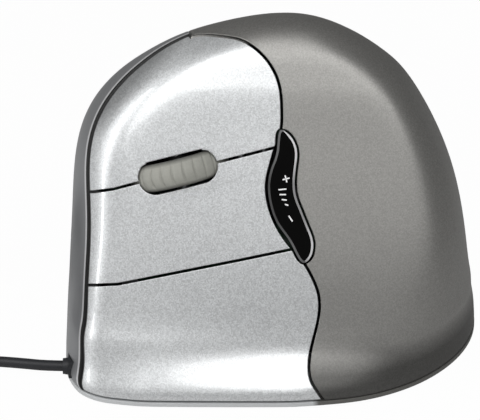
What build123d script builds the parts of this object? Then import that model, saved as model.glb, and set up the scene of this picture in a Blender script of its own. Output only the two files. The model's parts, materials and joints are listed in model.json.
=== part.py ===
from build123d import *
import os
from math import atan2, copysign, cos, degrees, hypot, pi, radians, sin, sqrt, tan

os.makedirs("parts", exist_ok=True)

# Driving dimensions of the body, in millimetres. +Y is the cord end, +Z is up,
# the finger side faces -X and the thumb side +X.
body_length = 100.0
body_width = 84.0
body_height = 84.0
wall = 2.0
seam_gap = 0.7
proud_step = 0.5
waist_depth = 2.2
thumb_hollow_depth = 2.6

# Clearances shared by every piece
running_fit = 0.05
seat_gap = 0.3
cut_over = 2.0

# Stack of the base
foot_thickness = 0.8
rim_height = 1.0
deck_height = 1.0
rim_reach = 0.3

# Line of sight along which the seams of the skin are laid out
sight_angle = 28.0
sight_height_share = 0.3324
pixel_origin = (272.3, 209.0)
pixels_per_length = 422.0
pixels_per_height = 354.5

# How far a thumb button slides in
thumb_travel = 0.35


# Body levels from the base to the crown. Shares of the height, the width and the length:
# height, finger side, thumb side, front, rear, centre across, centre along,
# then waist, thumb hollow, flat face widening and the four corner powers
# (front finger, front thumb, rear finger, rear thumb).
level_shares = (
    (0.0215, -0.497, 0.497, 0.498, -0.498, 0.000, 0.020, 0.00, 0.0, 1.00, 4.6, 3.2, 1.95, 2.00),
    (0.032, -0.500, 0.500, 0.500, -0.500, 0.000, 0.020, 0.00, 0.0, 1.00, 4.6, 3.2, 1.95, 2.00),
    (0.059, -0.491, 0.488, 0.500, -0.499, -0.001, 0.019, 0.00, 0.0, 1.02, 4.4, 3.2, 1.95, 2.00),
    (0.088, -0.474, 0.465, 0.499, -0.497, -0.004, 0.018, 0.35, 0.0, 1.08, 4.0, 3.2, 1.97, 2.00),
    (0.118, -0.456, 0.441, 0.498, -0.493, -0.007, 0.016, 0.80, 0.0, 1.15, 3.7, 3.2, 2.00, 2.00),
    (0.160, -0.434, 0.404, 0.496, -0.489, -0.013, 0.013, 1.00, 0.0, 1.26, 3.3, 3.1, 2.05, 2.00),
    (0.212, -0.407, 0.363, 0.493, -0.483, -0.021, 0.010, 0.70, 0.1, 1.38, 2.8, 3.0, 2.10, 2.00),
    (0.329, -0.357, 0.280, 0.487, -0.470, -0.038, 0.005, 0.15, 0.5, 1.55, 2.3, 2.8, 2.20, 2.05),
    (0.471, -0.300, 0.220, 0.480, -0.449, -0.040, 0.000, 0.00, 1.0, 1.64, 2.0, 2.6, 2.30, 2.10),
    (0.612, -0.243, 0.190, 0.467, -0.412, -0.027, -0.008, 0.00, 0.8, 1.66, 2.0, 2.5, 2.35, 2.15),
    (0.729, -0.196, 0.174, 0.428, -0.365, -0.012, -0.016, 0.00, 0.2, 1.70, 2.0, 2.4, 2.35, 2.15),
    (0.816, -0.162, 0.157, 0.364, -0.318, -0.002, -0.023, 0.00, 0.0, 1.60, 2.0, 2.3, 2.30, 2.15),
    (0.883, -0.131, 0.133, 0.286, -0.260, 0.001, -0.028, 0.00, 0.0, 1.45, 2.0, 2.2, 2.20, 2.10),
    (0.928, -0.107, 0.112, 0.210, -0.204, 0.002, -0.031, 0.00, 0.0, 1.25, 2.0, 2.1, 2.10, 2.05),
    (0.958, -0.082, 0.087, 0.132, -0.156, 0.002, -0.032, 0.00, 0.0, 1.10, 2.0, 2.0, 2.00, 2.00),
    (0.977, -0.054, 0.058, 0.066, -0.112, 0.002, -0.033, 0.00, 0.0, 1.03, 2.0, 2.0, 2.00, 2.00),
    (0.9857, -0.027, 0.032, 0.020, -0.075, 0.002, -0.033, 0.00, 0.0, 1.00, 2.0, 2.0, 2.00, 2.00),
    (0.989, -0.008, 0.013, -0.016, -0.049, 0.002, -0.033, 0.00, 0.0, 1.00, 2.0, 2.0, 2.00, 2.00),
)
hollow_levels = 14
quarter_steps = 8
face_softness = 9.0
waist_start_share = 0.36
waist_run_share = 0.45
hollow_centre_share = 0.10
hollow_reach_share = 0.34

# Two points of the flat finger face, as shares of the width and the height
face_foot_share = (-0.411, 0.167)
face_top_share = (-0.196, 0.729)

# The plane that parts the finger plates from the front strip
parting_foot_share = (-0.436, 0.012)
parting_top_share = (0.009, 0.952)

# The thumb face: one point, as shares of the width and the height, and its lean
thumb_point_share = (0.178, 0.667)
thumb_lean = 11.0


def clamp(value, low, high):
    return max(low, min(high, value))


def smooth_step(value):
    share = clamp(value, 0, 1)
    return share * share * (3 - 2 * share)


def face_cut(reach, full):
    # Reach across the flat finger face, softened where the face meets the rounder section
    if reach == 0:
        return 0
    soft = (reach ** -face_softness + 1) ** (-1 / face_softness)
    return soft * (full ** -face_softness + 1) ** (1 / face_softness)


def body_section(level, grow):
    # One level of the body as points in plan, grown outwards by the given distance
    height, finger, thumb, front, rear, across, along, waist, hollow, widen = level[:10]
    powers = level[10:]
    centre_x = across * body_width
    centre_y = along * body_length
    finger_reach = centre_x - finger * body_width + grow
    thumb_reach = thumb * body_width - centre_x + grow
    front_reach = front * body_length - centre_y + grow
    rear_reach = centre_y - rear * body_length + grow
    points = []
    for step in range(4 * quarter_steps):
        turn = step / quarter_steps * pi / 2
        ahead = cos(turn)
        side = sin(turn)
        reach_y = front_reach if step < quarter_steps or step > 3 * quarter_steps else rear_reach
        if step <= 2 * quarter_steps:
            power = powers[0] if step < quarter_steps else powers[2]
            bare = max(side, 0) ** (2 / power)
            x = -finger_reach * face_cut(widen * bare, widen)
        else:
            power = powers[3] if step <= 3 * quarter_steps else powers[1]
            bare = (-side) ** (2 / power)
            x = thumb_reach * bare
        y = copysign(reach_y * abs(ahead) ** (2 / power), ahead)
        place_y = centre_y + y
        if x < 0:
            ramp = smooth_step((waist_start_share * body_length - place_y) / (waist_run_share * body_length))
            x += waist_depth * waist * ramp * -x / finger_reach
        else:
            offset = (place_y - hollow_centre_share * body_length) / (hollow_reach_share * body_length)
            x -= thumb_hollow_depth * hollow * cos(pi / 2 * clamp(offset, -1, 1)) ** 2 * x / thumb_reach
        points.append((centre_x + x, place_y))
    return height * body_height + grow * height ** 2, points


def body_envelope(grow, levels):
    with BuildPart() as envelope:
        for level in level_shares[:levels]:
            height, points = body_section(level, grow)
            with BuildSketch(Plane.XY.offset(height)):
                with BuildLine():
                    ring = Edge.make_spline(points, periodic=True, parameters=[*range(len(points) + 1)])
                    add(ring)
                make_face()
        loft()
    return envelope.part


def plane_through(foot_share, top_share):
    # A plane along Y through two points given as shares of the width and the height,
    # facing the finger side, with its X towards the rear and its Y up the slope
    rise = (top_share[1] - foot_share[1]) * body_height
    run = (top_share[0] - foot_share[0]) * body_width
    slope = atan2(rise, run)
    origin = (foot_share[0] * body_width, 0, foot_share[1] * body_height)
    return Plane(origin=origin, x_dir=(0, -1, 0), z_dir=(-sin(slope), 0, cos(slope)))


face_plane = plane_through(face_foot_share, face_top_share)
parting_plane = plane_through(parting_foot_share, parting_top_share)
sight_plane = Plane(
    origin=(0, 0, 0),
    x_dir=(0, -1, 0),
    z_dir=(-cos(radians(sight_angle)), 0, sin(radians(sight_angle))),
)
thumb_plane = Plane(
    origin=(thumb_point_share[0] * body_width, 0, thumb_point_share[1] * body_height),
    x_dir=(0, 1, 0),
    z_dir=(cos(radians(thumb_lean)), 0, sin(radians(thumb_lean))),
)
face_up = face_plane.y_dir
face_out = face_plane.z_dir
far_reach = body_length + body_width + body_height


def seam_point(pixel):
    # A pixel of the line of sight, in millimetres on the sight plane
    across = (pixel[0] - pixel_origin[0]) / pixels_per_length * body_length
    up = (sight_height_share + (pixel_origin[1] - pixel[1]) / pixels_per_height) * body_height
    return (across, up)


def face_point(pixel):
    # The same pixel, in the finger face's own coordinates
    across, up = seam_point(pixel)
    sight_up = sight_plane.y_dir
    start = face_plane.origin.dot(sight_up)
    return (across, (up - start) / face_up.dot(sight_up))


def cross_plane(up):
    # A plane square to the face's upward direction: X towards the rear, Y out of the face
    return Plane(origin=face_plane.from_local_coords((0, up, 0)), x_dir=(0, -1, 0), z_dir=-face_up)


def prism(sketch, amount):
    with BuildPart() as solid:
        extrude(sketch, amount=amount, both=True)
    return solid.part


def half_space(plane, offset):
    # Everything on the outer side of a plane that is shifted by the given distance
    with BuildPart() as solid:
        with BuildSketch(plane.offset(offset)):
            Rectangle(2 * far_reach, 2 * far_reach)
        extrude(amount=far_reach)
    return solid.part


def cylinder_along(plane, radius, start, end):
    # A round bar along a plane's normal, between two distances
    with BuildPart() as bar:
        with BuildSketch(plane.offset(start)):
            Circle(radius)
        extrude(amount=end - start)
    return bar.part


def finish(piece, label):
    piece.label = label
    export_step(piece, f"parts/{label}.step")


# Seams of the skin, as pixels of the line of sight
rear_seam_pixels = (
    (190, 37.5), (200, 35), (215, 36), (240, 40.5), (259.9, 53.6), (273.7, 72), (280.1, 91.8),
    (281.3, 110), (280.6, 129.3), (275.2, 147), (269, 168.4), (266, 183.7), (266.8, 197.5),
    (275.2, 223.8), (290.5, 246.7), (304.3, 263.6), (312, 277.3), (318, 292.7), (319.3, 308),
    (317.3, 323.3), (312.7, 341.6), (309.6, 357), (308.9, 369.2), (311.2, 381.4), (316.5, 390.6),
    (321.9, 398.3), (330, 408),
)
silver_frame_pixels = ((330, 430), (30, 430), (30, 10), (170, 10))
upper_seam_pixels = ((30, 195), (94.9, 191.3), (113.3, 189), (140, 182.1), (217, 162.3), (240, 156.5),
                     (274.4, 147.7), (310, 138.6))
lower_seam_pixels = ((30, 286), (96.4, 285), (117.9, 283.9), (240, 259.7), (291.3, 249), (340, 239))
rocker_pixels = (
    (281.3, 129.3), (287.5, 131.6), (295, 140.8), (298, 150), (297.4, 165.3), (295.9, 180.6),
    (297.4, 195.9), (302.8, 210), (308.9, 225.3), (314.2, 240.6), (314.2, 249.8), (310.5, 259.5),
    (304.3, 263.6), (290.5, 246.7), (275.2, 223.8), (266.8, 197.5), (266, 183.7), (269, 168.4),
    (275.2, 147),
)
wheel_pixel = (178.3, 172.2)
view_top_pixel = 5
view_bottom_pixel = 430

# The front strip's edge on the hidden side, seen along X: shares of the length and the height
strip_edge_shares = (
    (0.165, 1.10), (0.195, 0.93), (0.25, 0.84), (0.31, 0.72), (0.36, 0.54), (0.385, 0.30), (0.395, -0.05),
)


def shifted(points, distance, closed=False):
    # A hand-drawn line of points, moved to its left by the given distance
    moved = []
    count = len(points)
    for index, point in enumerate(points):
        before = points[index - 1] if closed or index > 0 else point
        after = points[(index + 1) % count] if closed or index < count - 1 else point
        run = (after[0] - before[0], after[1] - before[1])
        length = hypot(*run)
        moved.append((point[0] - run[1] / length * distance, point[1] + run[0] / length * distance))
    return moved


def silver_region(grow):
    # The finger plates' area in the line of sight, with the rear seam on its right
    seam_points = shifted([seam_point(pixel) for pixel in rear_seam_pixels], grow)
    with BuildSketch(sight_plane) as region:
        with BuildLine():
            seam = Spline(*seam_points)
            corners = [seam_point(pixel) for pixel in silver_frame_pixels]
            Polyline(seam @ 1, *corners, seam @ 0)
        make_face()
    return region.sketch


def rocker_region(grow):
    outline = shifted([seam_point(pixel) for pixel in rocker_pixels], grow, closed=True)
    with BuildSketch(sight_plane) as region:
        with BuildLine():
            Spline(*outline, periodic=True)
        make_face()
    return region.sketch


def strip_region(grow):
    # The front strip's area, seen along X
    line = [(along * body_length, up * body_height) for along, up in strip_edge_shares]
    with BuildSketch(Plane.YZ) as region:
        with BuildLine():
            edge = Spline(*shifted(line, -grow))
            Polyline(edge @ 1, (body_length, (edge @ 1).Y), (body_length, (edge @ 0).Y), edge @ 0)
        make_face()
    return region.sketch


def band_region(top_pixels, bottom_pixels):
    # The part of the finger side between two seams, half a gap clear of each
    half_gap = seam_gap / 2
    top = [seam_point(pixel) for pixel in top_pixels]
    bottom = [seam_point(pixel) for pixel in bottom_pixels]
    with BuildSketch(sight_plane) as region:
        with BuildLine():
            Polyline(
                *[(across, up - half_gap) for across, up in top],
                *[(across, up + half_gap) for across, up in reversed(bottom)],
                close=True,
            )
        make_face()
    return region.sketch


view_top = tuple((pixel[0], view_top_pixel) for pixel in (upper_seam_pixels[0], upper_seam_pixels[-1]))
view_bottom = tuple((pixel[0], view_bottom_pixel) for pixel in (lower_seam_pixels[0], lower_seam_pixels[-1]))

# Envelopes and the skin that the shells and plates are cut from
outer_body = body_envelope(0, len(level_shares))
inner_body = body_envelope(-wall, hollow_levels)
proud_body = body_envelope(proud_step, len(level_shares))

with BuildPart() as skin:
    add(outer_body)
    add(inner_body, mode=Mode.SUBTRACT)

half_gap = seam_gap / 2
near_tight = half_space(parting_plane, half_gap)
near_wide = half_space(parting_plane, -half_gap)
silver_tight = prism(silver_region(-half_gap), far_reach)
silver_wide = prism(silver_region(half_gap), far_reach)
strip_tight = prism(strip_region(-half_gap), far_reach)
strip_wide = prism(strip_region(half_gap), far_reach)

with BuildPart() as rocker_cut:
    add(prism(rocker_region(half_gap / 2), far_reach))
    add(near_wide, mode=Mode.INTERSECT)
rocker_opening = rocker_cut.part
rim_top = foot_thickness + rim_height
deck_top = rim_top + deck_height

# The finger side's wheel, in its own plane: X along the way it rolls, Z out of the face
wheel_tilt = 14.0
wheel_depth = 8.3
wheel_skin_rise = 0.44
tyre_length = 17.3
tyre_width = 7.0
slot_length = 18.3
slot_width = 8.1
wheel_spot = face_point(wheel_pixel)
roll_dir = face_plane.x_dir * cos(radians(wheel_tilt)) + face_up * sin(radians(wheel_tilt))
axle_dir = face_up * cos(radians(wheel_tilt)) - face_plane.x_dir * sin(radians(wheel_tilt))
wheel_face = Plane(origin=face_plane.from_local_coords((*wheel_spot, 0)), x_dir=roll_dir, z_dir=face_out)
wheel_centre = wheel_face.from_local_coords((0, 0, -wheel_depth))
wheel_side = Plane(origin=wheel_centre, x_dir=roll_dir, z_dir=axle_dir)

wheel_radius = hypot(wheel_depth + wheel_skin_rise, tyre_length / 2)
barrel_steps = 12


def barrel(length, width, bore):
    # A turned ring that the skin of the finger side cuts in a rounded slot of the given length and width
    profile = []
    for step in range(barrel_steps + 1):
        turn = pi * (step / barrel_steps - 0.5)
        reach = (length - width) / 2 + cos(turn) * width / 2
        profile.append((hypot(wheel_depth + wheel_skin_rise, reach), sin(turn) * width / 2))
    with BuildPart() as ring:
        with BuildSketch(Plane(origin=wheel_centre, x_dir=roll_dir, z_dir=face_out)):
            with BuildLine():
                tread = Spline(*profile, tangents=((1, 0), (-1, 0)))
                Polyline(tread @ 1, (bore, width / 2), (bore, -width / 2), tread @ 0)
            make_face()
        revolve(axis=Axis(wheel_centre, axle_dir))
    return ring.part

# Depths on the finger side, measured into the body from the finger face
board_depth = 12.0
board_thickness = 1.6
standoff = 2.0
frame_plate = 2.0
frame_depth = board_depth + board_thickness + standoff
pivot_depth = 9.0
pivot_radius = 1.0
pivot_across = -2.0
lug_radius = 2.2
lug_width = 2.0
pad_size = 5.0
pad_root_depth = 0.6
switch_length = 12.8
switch_width = 5.8
switch_height = 6.5
plunger_radius = 0.9
plunger_stand = 0.7
plunger_seat = 2.2
plunger_tip_depth = board_depth - switch_height - plunger_stand

# Places up the finger face, as shares of the body's height, and across it, of the length
button_lug_shares = {
    "index": (0.595, 0.714),
    "middle": (0.285, 0.362),
    "ring": (0.071, 0.190),
}
button_switch_shares = {
    "index": (-0.210, 0.665),
    "middle": (-0.260, 0.245),
    "ring": (-0.240, 0.071),
}
button_bands = {
    "index": (view_top, upper_seam_pixels),
    "middle": (upper_seam_pixels, lower_seam_pixels),
    "ring": (lower_seam_pixels, view_bottom),
}
plate_foot = 0.6


def switch_spot(finger):
    across, up = button_switch_shares[finger]
    return (across * body_length, up * body_height)


def button_lug(up):
    # A tapered blade from the back of the plate down to a ring around the pivot rod
    root_edge = pivot_across - lug_radius / 2
    with BuildPart() as lug:
        with BuildSketch(cross_plane(up).offset(-lug_width / 2)):
            with Locations((pivot_across, -pivot_depth)):
                Circle(lug_radius)
            with BuildLine():
                Polyline(
                    (pivot_across - lug_radius, -pivot_depth),
                    (root_edge - 3 * lug_radius, -pad_root_depth),
                    (root_edge, -pad_root_depth),
                    (pivot_across + lug_radius / 2, lug_radius - pivot_depth),
                    (pivot_across, -pivot_depth),
                    close=True,
                )
            make_face()
        extrude(amount=lug_width)
    return lug.part


def button_pad(finger):
    # The post that the plate presses its switch with
    with BuildPart() as pad:
        with BuildSketch(face_plane.offset(seat_gap - plunger_tip_depth)):
            with Locations(switch_spot(finger)):
                Circle(pad_size / 2)
        extrude(amount=plunger_tip_depth - seat_gap - pad_root_depth)
    return pad.part


pivot_line = Plane(
    origin=face_plane.from_local_coords((pivot_across, 0, -pivot_depth)), x_dir=(0, -1, 0), z_dir=face_up
)
pivot_bore = cylinder_along(pivot_line, pivot_radius + running_fit, -far_reach, far_reach)

with BuildPart() as silver_skin:
    add(skin.part)
    add(near_tight, mode=Mode.INTERSECT)
    add(silver_tight, mode=Mode.INTERSECT)
    add(rocker_opening, mode=Mode.SUBTRACT)
    add(barrel(slot_length, slot_width, wheel_depth / 2), mode=Mode.SUBTRACT)
    with BuildSketch(Plane.XY):
        Rectangle(far_reach, far_reach)
    extrude(amount=rim_top + plate_foot, mode=Mode.SUBTRACT)

button_plates = {}
for finger, (top_pixels, bottom_pixels) in button_bands.items():
    with BuildPart() as plate:
        add(silver_skin.part)
        add(prism(band_region(top_pixels, bottom_pixels), far_reach), mode=Mode.INTERSECT)
        for share in button_lug_shares[finger]:
            add(button_lug(share * body_height))
        add(button_pad(finger))
        add(pivot_bore, mode=Mode.SUBTRACT)
    button_plates[finger] = plate.part
    finish(plate.part, f"{finger}_button")

rod_share = (0.026, 0.788)
rod_bottom = rod_share[0] * body_height
rod_top = rod_share[1] * body_height
finish(cylinder_along(pivot_line, pivot_radius, rod_bottom, rod_top), "button_pivot_rod")

# Front strip, with the notch for the strain relief and a screw boss
boss_radius = 3.0
boss_height = 12.0
boss_rib = 2.0
boss_rib_share = 0.12
case_screw_radius = 1.3
case_screw_reach = 7.0
exit_share = (-0.333, 0.046)
relief_width = 4.6
relief_height = 4.4
relief_flange = 1.1
relief_neck = 5.0
relief_nose = 1.4
cord_diameter = 2.6
exit_x = exit_share[0] * body_width
exit_z = exit_share[1] * body_height
relief_wall_share = 0.438
relief_back = relief_wall_share * body_length - relief_flange
relief_front = relief_wall_share * body_length + relief_neck

# Case screws: place as shares of the width and the length, then the way to the nearest wall
rear_boss_shares = ((-0.238, -0.32, -145), (0.238, -0.34, -50), (0.331, 0.04, 0))
front_boss_shares = ((0.048, 0.434, 90),)


def case_boss(boss):
    # A screw boss that stands on the deck and is tied to the wall by a rib
    place = (boss[0] * body_width, boss[1] * body_length)
    with BuildPart() as post:
        with BuildSketch(Plane.XY.offset(deck_top)):
            with Locations(place):
                Circle(boss_radius)
            with Locations(Location((*place, 0), (0, 0, boss[2]))):
                Rectangle(boss_rib_share * body_width, boss_rib, align=(Align.MIN, Align.CENTER))
        extrude(amount=boss_height)
        add(outer_body, mode=Mode.INTERSECT)
        with BuildSketch(Plane.XY.offset(deck_top)):
            with Locations(place):
                Circle(case_screw_radius + running_fit)
        extrude(amount=case_screw_reach + seat_gap, mode=Mode.SUBTRACT)
    return post.part


with BuildPart() as front_trim:
    add(skin.part)
    add(strip_tight, mode=Mode.INTERSECT)
    add(near_wide, mode=Mode.SUBTRACT)
    for boss in front_boss_shares:
        add(case_boss(boss))
    with BuildSketch(Plane.XY.offset(rim_top)):
        with Locations((exit_x, body_length / 2)):
            Rectangle(relief_width + 2 * running_fit, 4 * wall + relief_neck)
    extrude(amount=relief_height + running_fit, mode=Mode.SUBTRACT)
finish(front_trim.part, "front_trim")

# Thumb controls: bezel, two sliding buttons, their board and the speed lights
bezel_size = (34.0, 17.0)
bezel_corner = 4.0
bezel_centre = (3.0, 3.5)
thumb_button_size = (22.0, 6.6)
thumb_button_corner = 2.6
thumb_button_across = 8.0
thumb_button_rises = (-0.3, 7.3)
thumb_slot_gap = 0.35
thumb_button_depth = 2.6
thumb_post = 3.0
thumb_board_depth = 7.6
thumb_board_thickness = 1.2
thumb_board_size = (47.0, 13.0)
thumb_board_corner = 1.5
thumb_switch_size = 6.0
thumb_switch_height = 3.0
thumb_switch_corner = 0.5
thumb_plunger_radius = 1.5
thumb_plunger_stand = 0.7
thumb_boss_spread = 40.0
thumb_boss_radius = 2.4
small_screw_radius = 1.0
small_screw_reach = 4.0
light_spot = (-10.5, 3.5)
light_pitch = 2.9
light_count = 4
light_radius = 0.7
light_bar = 1.2
light_depth = 2.4
thumb_plunger_tip = thumb_board_depth - thumb_switch_height - thumb_plunger_stand


def thumb_prism(size, corner, centre, amount):
    with BuildPart() as solid:
        with BuildSketch(thumb_plane):
            with Locations(centre):
                RectangleRounded(*size, corner)
        extrude(amount=amount, both=True)
    return solid.part


def grown(size, amount):
    return (size[0] + 2 * amount, size[1] + 2 * amount)


bezel_reach = thumb_board_depth
bezel_opening = thumb_prism(grown(bezel_size, running_fit), bezel_corner, bezel_centre, bezel_reach)

with BuildPart() as near_cut:
    add(near_wide)
    add(silver_wide, mode=Mode.INTERSECT)

with BuildPart() as board_bosses:
    with BuildSketch(thumb_plane.offset(-thumb_board_depth)):
        with Locations(bezel_centre):
            with GridLocations(thumb_boss_spread, 0, 2, 1):
                Circle(thumb_boss_radius)
    extrude(amount=thumb_board_depth + wall)
    add(outer_body, mode=Mode.INTERSECT)

with BuildPart() as rear_shell:
    add(skin.part)
    add(near_cut.part, mode=Mode.SUBTRACT)
    add(strip_wide, mode=Mode.SUBTRACT)
    add(rocker_opening, mode=Mode.SUBTRACT)
    for boss in rear_boss_shares:
        add(case_boss(boss))
    add(board_bosses.part)
    with BuildSketch(thumb_plane.offset(-thumb_board_depth)):
        with Locations(bezel_centre):
            with GridLocations(thumb_boss_spread, 0, 2, 1):
                Circle(small_screw_radius + running_fit)
    extrude(amount=small_screw_reach + seat_gap, mode=Mode.SUBTRACT)
    add(bezel_opening, mode=Mode.SUBTRACT)
finish(rear_shell.part, "rear_shell")

with BuildPart() as thumb_bezel:
    add(skin.part)
    add(thumb_prism(bezel_size, bezel_corner, bezel_centre, bezel_reach), mode=Mode.INTERSECT)
    for rise in thumb_button_rises:
        opening = thumb_prism(
            grown(thumb_button_size, thumb_slot_gap),
            thumb_button_corner + thumb_slot_gap,
            (thumb_button_across, rise),
            bezel_reach,
        )
        add(opening, mode=Mode.SUBTRACT)
    with BuildSketch(thumb_plane):
        with Locations(light_spot):
            with GridLocations(0, light_pitch, 1, light_count):
                Circle(light_radius + running_fit)
    extrude(amount=bezel_reach, both=True, mode=Mode.SUBTRACT)
finish(thumb_bezel.part, "thumb_bezel")

for name, rise in zip(("lower", "upper"), thumb_button_rises):
    centre = (thumb_button_across, rise)
    with BuildPart() as thumb_button:
        add(proud_body)
        add(thumb_prism(thumb_button_size, thumb_button_corner, centre, bezel_reach), mode=Mode.INTERSECT)
        with BuildSketch(thumb_plane.offset(-thumb_button_depth)):
            Rectangle(body_length, body_height)
        extrude(amount=-body_width, mode=Mode.SUBTRACT)
        with BuildSketch(thumb_plane.offset(seat_gap - thumb_plunger_tip)):
            with Locations(centre):
                Circle(thumb_post / 2)
        extrude(amount=thumb_plunger_tip - seat_gap - thumb_button_depth + running_fit)
    finish(thumb_button.part, f"thumb_button_{name}")

    with BuildPart() as thumb_plunger:
        with BuildSketch(thumb_plane.offset(-thumb_plunger_tip)):
            with Locations(centre):
                Circle(thumb_plunger_radius)
        extrude(amount=-thumb_plunger_stand - thumb_plunger_radius)
    finish(thumb_plunger.part, f"thumb_plunger_{name}")

with BuildPart() as thumb_switches:
    with BuildSketch(thumb_plane.offset(-thumb_board_depth)):
        for rise in thumb_button_rises:
            with Locations((thumb_button_across, rise)):
                RectangleRounded(thumb_switch_size, thumb_switch_size, thumb_switch_corner)
    extrude(amount=thumb_switch_height)
    with BuildSketch(thumb_plane.offset(thumb_switch_height - thumb_board_depth)):
        for rise in thumb_button_rises:
            with Locations((thumb_button_across, rise)):
                Circle(thumb_plunger_radius + running_fit)
    extrude(amount=-thumb_plunger_radius - thumb_travel - seat_gap, mode=Mode.SUBTRACT)
finish(thumb_switches.part, "thumb_switch_bodies")

with BuildPart() as thumb_board:
    with BuildSketch(thumb_plane.offset(-thumb_board_depth)):
        with Locations(bezel_centre):
            RectangleRounded(*thumb_board_size, thumb_board_corner)
            with GridLocations(thumb_boss_spread, 0, 2, 1):
                Circle(small_screw_radius + running_fit, mode=Mode.SUBTRACT)
    extrude(amount=-thumb_board_thickness)
finish(thumb_board.part, "thumb_board")

with BuildPart() as light_pipe:
    with BuildSketch(thumb_plane.offset(-thumb_board_depth)):
        with Locations(light_spot):
            Rectangle(light_bar + 2 * light_radius, light_pitch * light_count)
    extrude(amount=light_depth)
    with BuildSketch(thumb_plane.offset(-thumb_board_depth)):
        with Locations(light_spot):
            with GridLocations(0, light_pitch, 1, light_count):
                Circle(light_radius)
    extrude(amount=thumb_board_depth + wall)
    add(outer_body, mode=Mode.INTERSECT)
finish(light_pipe.part, "light_pipe")

# Screws: a chamfered head with a cross recess on a plain shank
screw_head_share = 2.0
screw_recess_share = 0.5


def screw_set(places, shank_radius, head_height, reach):
    # Each place is a plane at the underside of the head, its Z out of the head
    head_radius = screw_head_share * shank_radius
    recess = head_radius * screw_recess_share
    with BuildPart() as screws:
        for place in places:
            with BuildSketch(place):
                Circle(head_radius)
            extrude(amount=head_height)
            with BuildSketch(place):
                Circle(shank_radius)
            extrude(amount=-reach)
            with BuildSketch(place.offset(head_height)):
                Rectangle(2 * recess, recess / 2)
                Rectangle(recess / 2, 2 * recess)
            extrude(amount=-head_height / 2, mode=Mode.SUBTRACT)
    return screws.part


small_head = 1.0
thumb_screw_depth = thumb_board_depth + thumb_board_thickness
thumb_screw_places = [
    Plane(
        origin=thumb_plane.from_local_coords(
            (bezel_centre[0] + side * thumb_boss_spread / 2, bezel_centre[1], -thumb_screw_depth)
        ),
        x_dir=(0, 1, 0),
        z_dir=-thumb_plane.z_dir,
    )
    for side in (-1, 1)
]
thumb_screws = screw_set(
    thumb_screw_places, small_screw_radius, small_head, small_screw_reach + thumb_board_thickness
)
finish(thumb_screws, "thumb_board_screws")

# Speed rocker on its pin, with a cradle, a small board and two rubber domes
rocker_clearance = 0.4
rocker_skin_depth = 1.4
rocker_bevel = 0.5
rocker_pin_depth = 4.5
rocker_pin_radius = 0.8
rocker_pin_share = 0.418
rocker_pin_up = rocker_pin_share * body_height
rocker_rib = (2.0, 3.8)
rocker_ring = 1.7
rocker_web = rocker_pin_depth - rocker_skin_depth / 2
cradle_ears = ((-0.4, 0.8), (5.2, 6.4))
cradle_ear_width = 4.0
cradle_depth = 8.8
cradle_plate = 1.2
cradle_across = (1.0, 10.2)
cradle_up = (20.5, 50.5)
rocker_board_thickness = 0.8
dome_radius = 1.6
dome_spots = ((3.6, 45.2), (7.4, 25.4))
dome_height = 2.4
dome_pad_radius = 1.3
frame_post_radius = 2.0
rocker_board_top = cradle_depth - rocker_board_thickness
dome_tip = rocker_board_top - dome_height

with BuildPart() as speed_rocker:
    add(proud_body)
    add(prism(rocker_region(-rocker_clearance), far_reach), mode=Mode.INTERSECT)
    with BuildSketch(face_plane.offset(-rocker_skin_depth)):
        Rectangle(2 * body_length, 2 * body_height)
    extrude(amount=-far_reach, mode=Mode.SUBTRACT)
    rib_plane = Plane(
        origin=face_plane.from_local_coords((rocker_rib[0], rocker_pin_up, 0)),
        x_dir=face_up,
        z_dir=face_plane.x_dir,
    )
    with BuildSketch(rib_plane):
        with Locations((0, -rocker_pin_depth)):
            Circle(rocker_ring)
            Rectangle(2 * rocker_ring, rocker_web, align=(Align.CENTER, Align.MIN))
    extrude(amount=rocker_rib[1] - rocker_rib[0])
    with BuildSketch(rib_plane):
        with Locations((0, -rocker_pin_depth)):
            Circle(rocker_pin_radius + running_fit)
    extrude(amount=rocker_rib[1] - rocker_rib[0], mode=Mode.SUBTRACT)
    with BuildSketch(face_plane.offset(seat_gap - dome_tip)):
        with Locations(*dome_spots):
            Circle(dome_pad_radius)
    extrude(amount=dome_tip - seat_gap - rocker_skin_depth / 2)
    outline_edges = speed_rocker.edges().sort_by(Edge.length)[-2:]
    chamfer(outline_edges.sort_by(Axis(face_plane.origin, face_out))[-1], rocker_bevel)
finish(speed_rocker.part, "speed_rocker")

pin_line = Plane(
    origin=face_plane.from_local_coords((0, rocker_pin_up, -rocker_pin_depth)),
    x_dir=face_up,
    z_dir=face_plane.x_dir,
)
finish(cylinder_along(pin_line, rocker_pin_radius, cradle_ears[0][0], cradle_ears[1][1]), "rocker_pin")

cradle_centre = ((cradle_across[0] + cradle_across[1]) / 2, (cradle_up[0] + cradle_up[1]) / 2)
cradle_span = (cradle_across[1] - cradle_across[0], cradle_up[1] - cradle_up[0])
ear_slot = cradle_ear_width + 2 * seat_gap

with BuildPart() as rocker_cradle:
    with BuildSketch(face_plane.offset(-cradle_depth)):
        with Locations(cradle_centre):
            Rectangle(*cradle_span)
    extrude(amount=-cradle_plate)
    for low, high in cradle_ears:
        with BuildSketch(face_plane.offset(-cradle_depth - cradle_plate)):
            with Locations(((low + high) / 2, rocker_pin_up)):
                Rectangle(high - low, cradle_ear_width)
        extrude(amount=cradle_plate + cradle_depth - rocker_pin_depth + 2 * rocker_pin_radius)
    with BuildSketch(face_plane.offset(-cradle_depth)):
        with Locations(((cradle_ears[0][0] + cradle_across[0]) / 2, rocker_pin_up)):
            Rectangle(cradle_across[0] - cradle_ears[0][0], cradle_ear_width)
    extrude(amount=-cradle_plate)
    add(
        cylinder_along(pin_line, rocker_pin_radius + running_fit, -body_length / 4, body_length / 4),
        mode=Mode.SUBTRACT,
    )
finish(rocker_cradle.part, "rocker_cradle")

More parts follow.
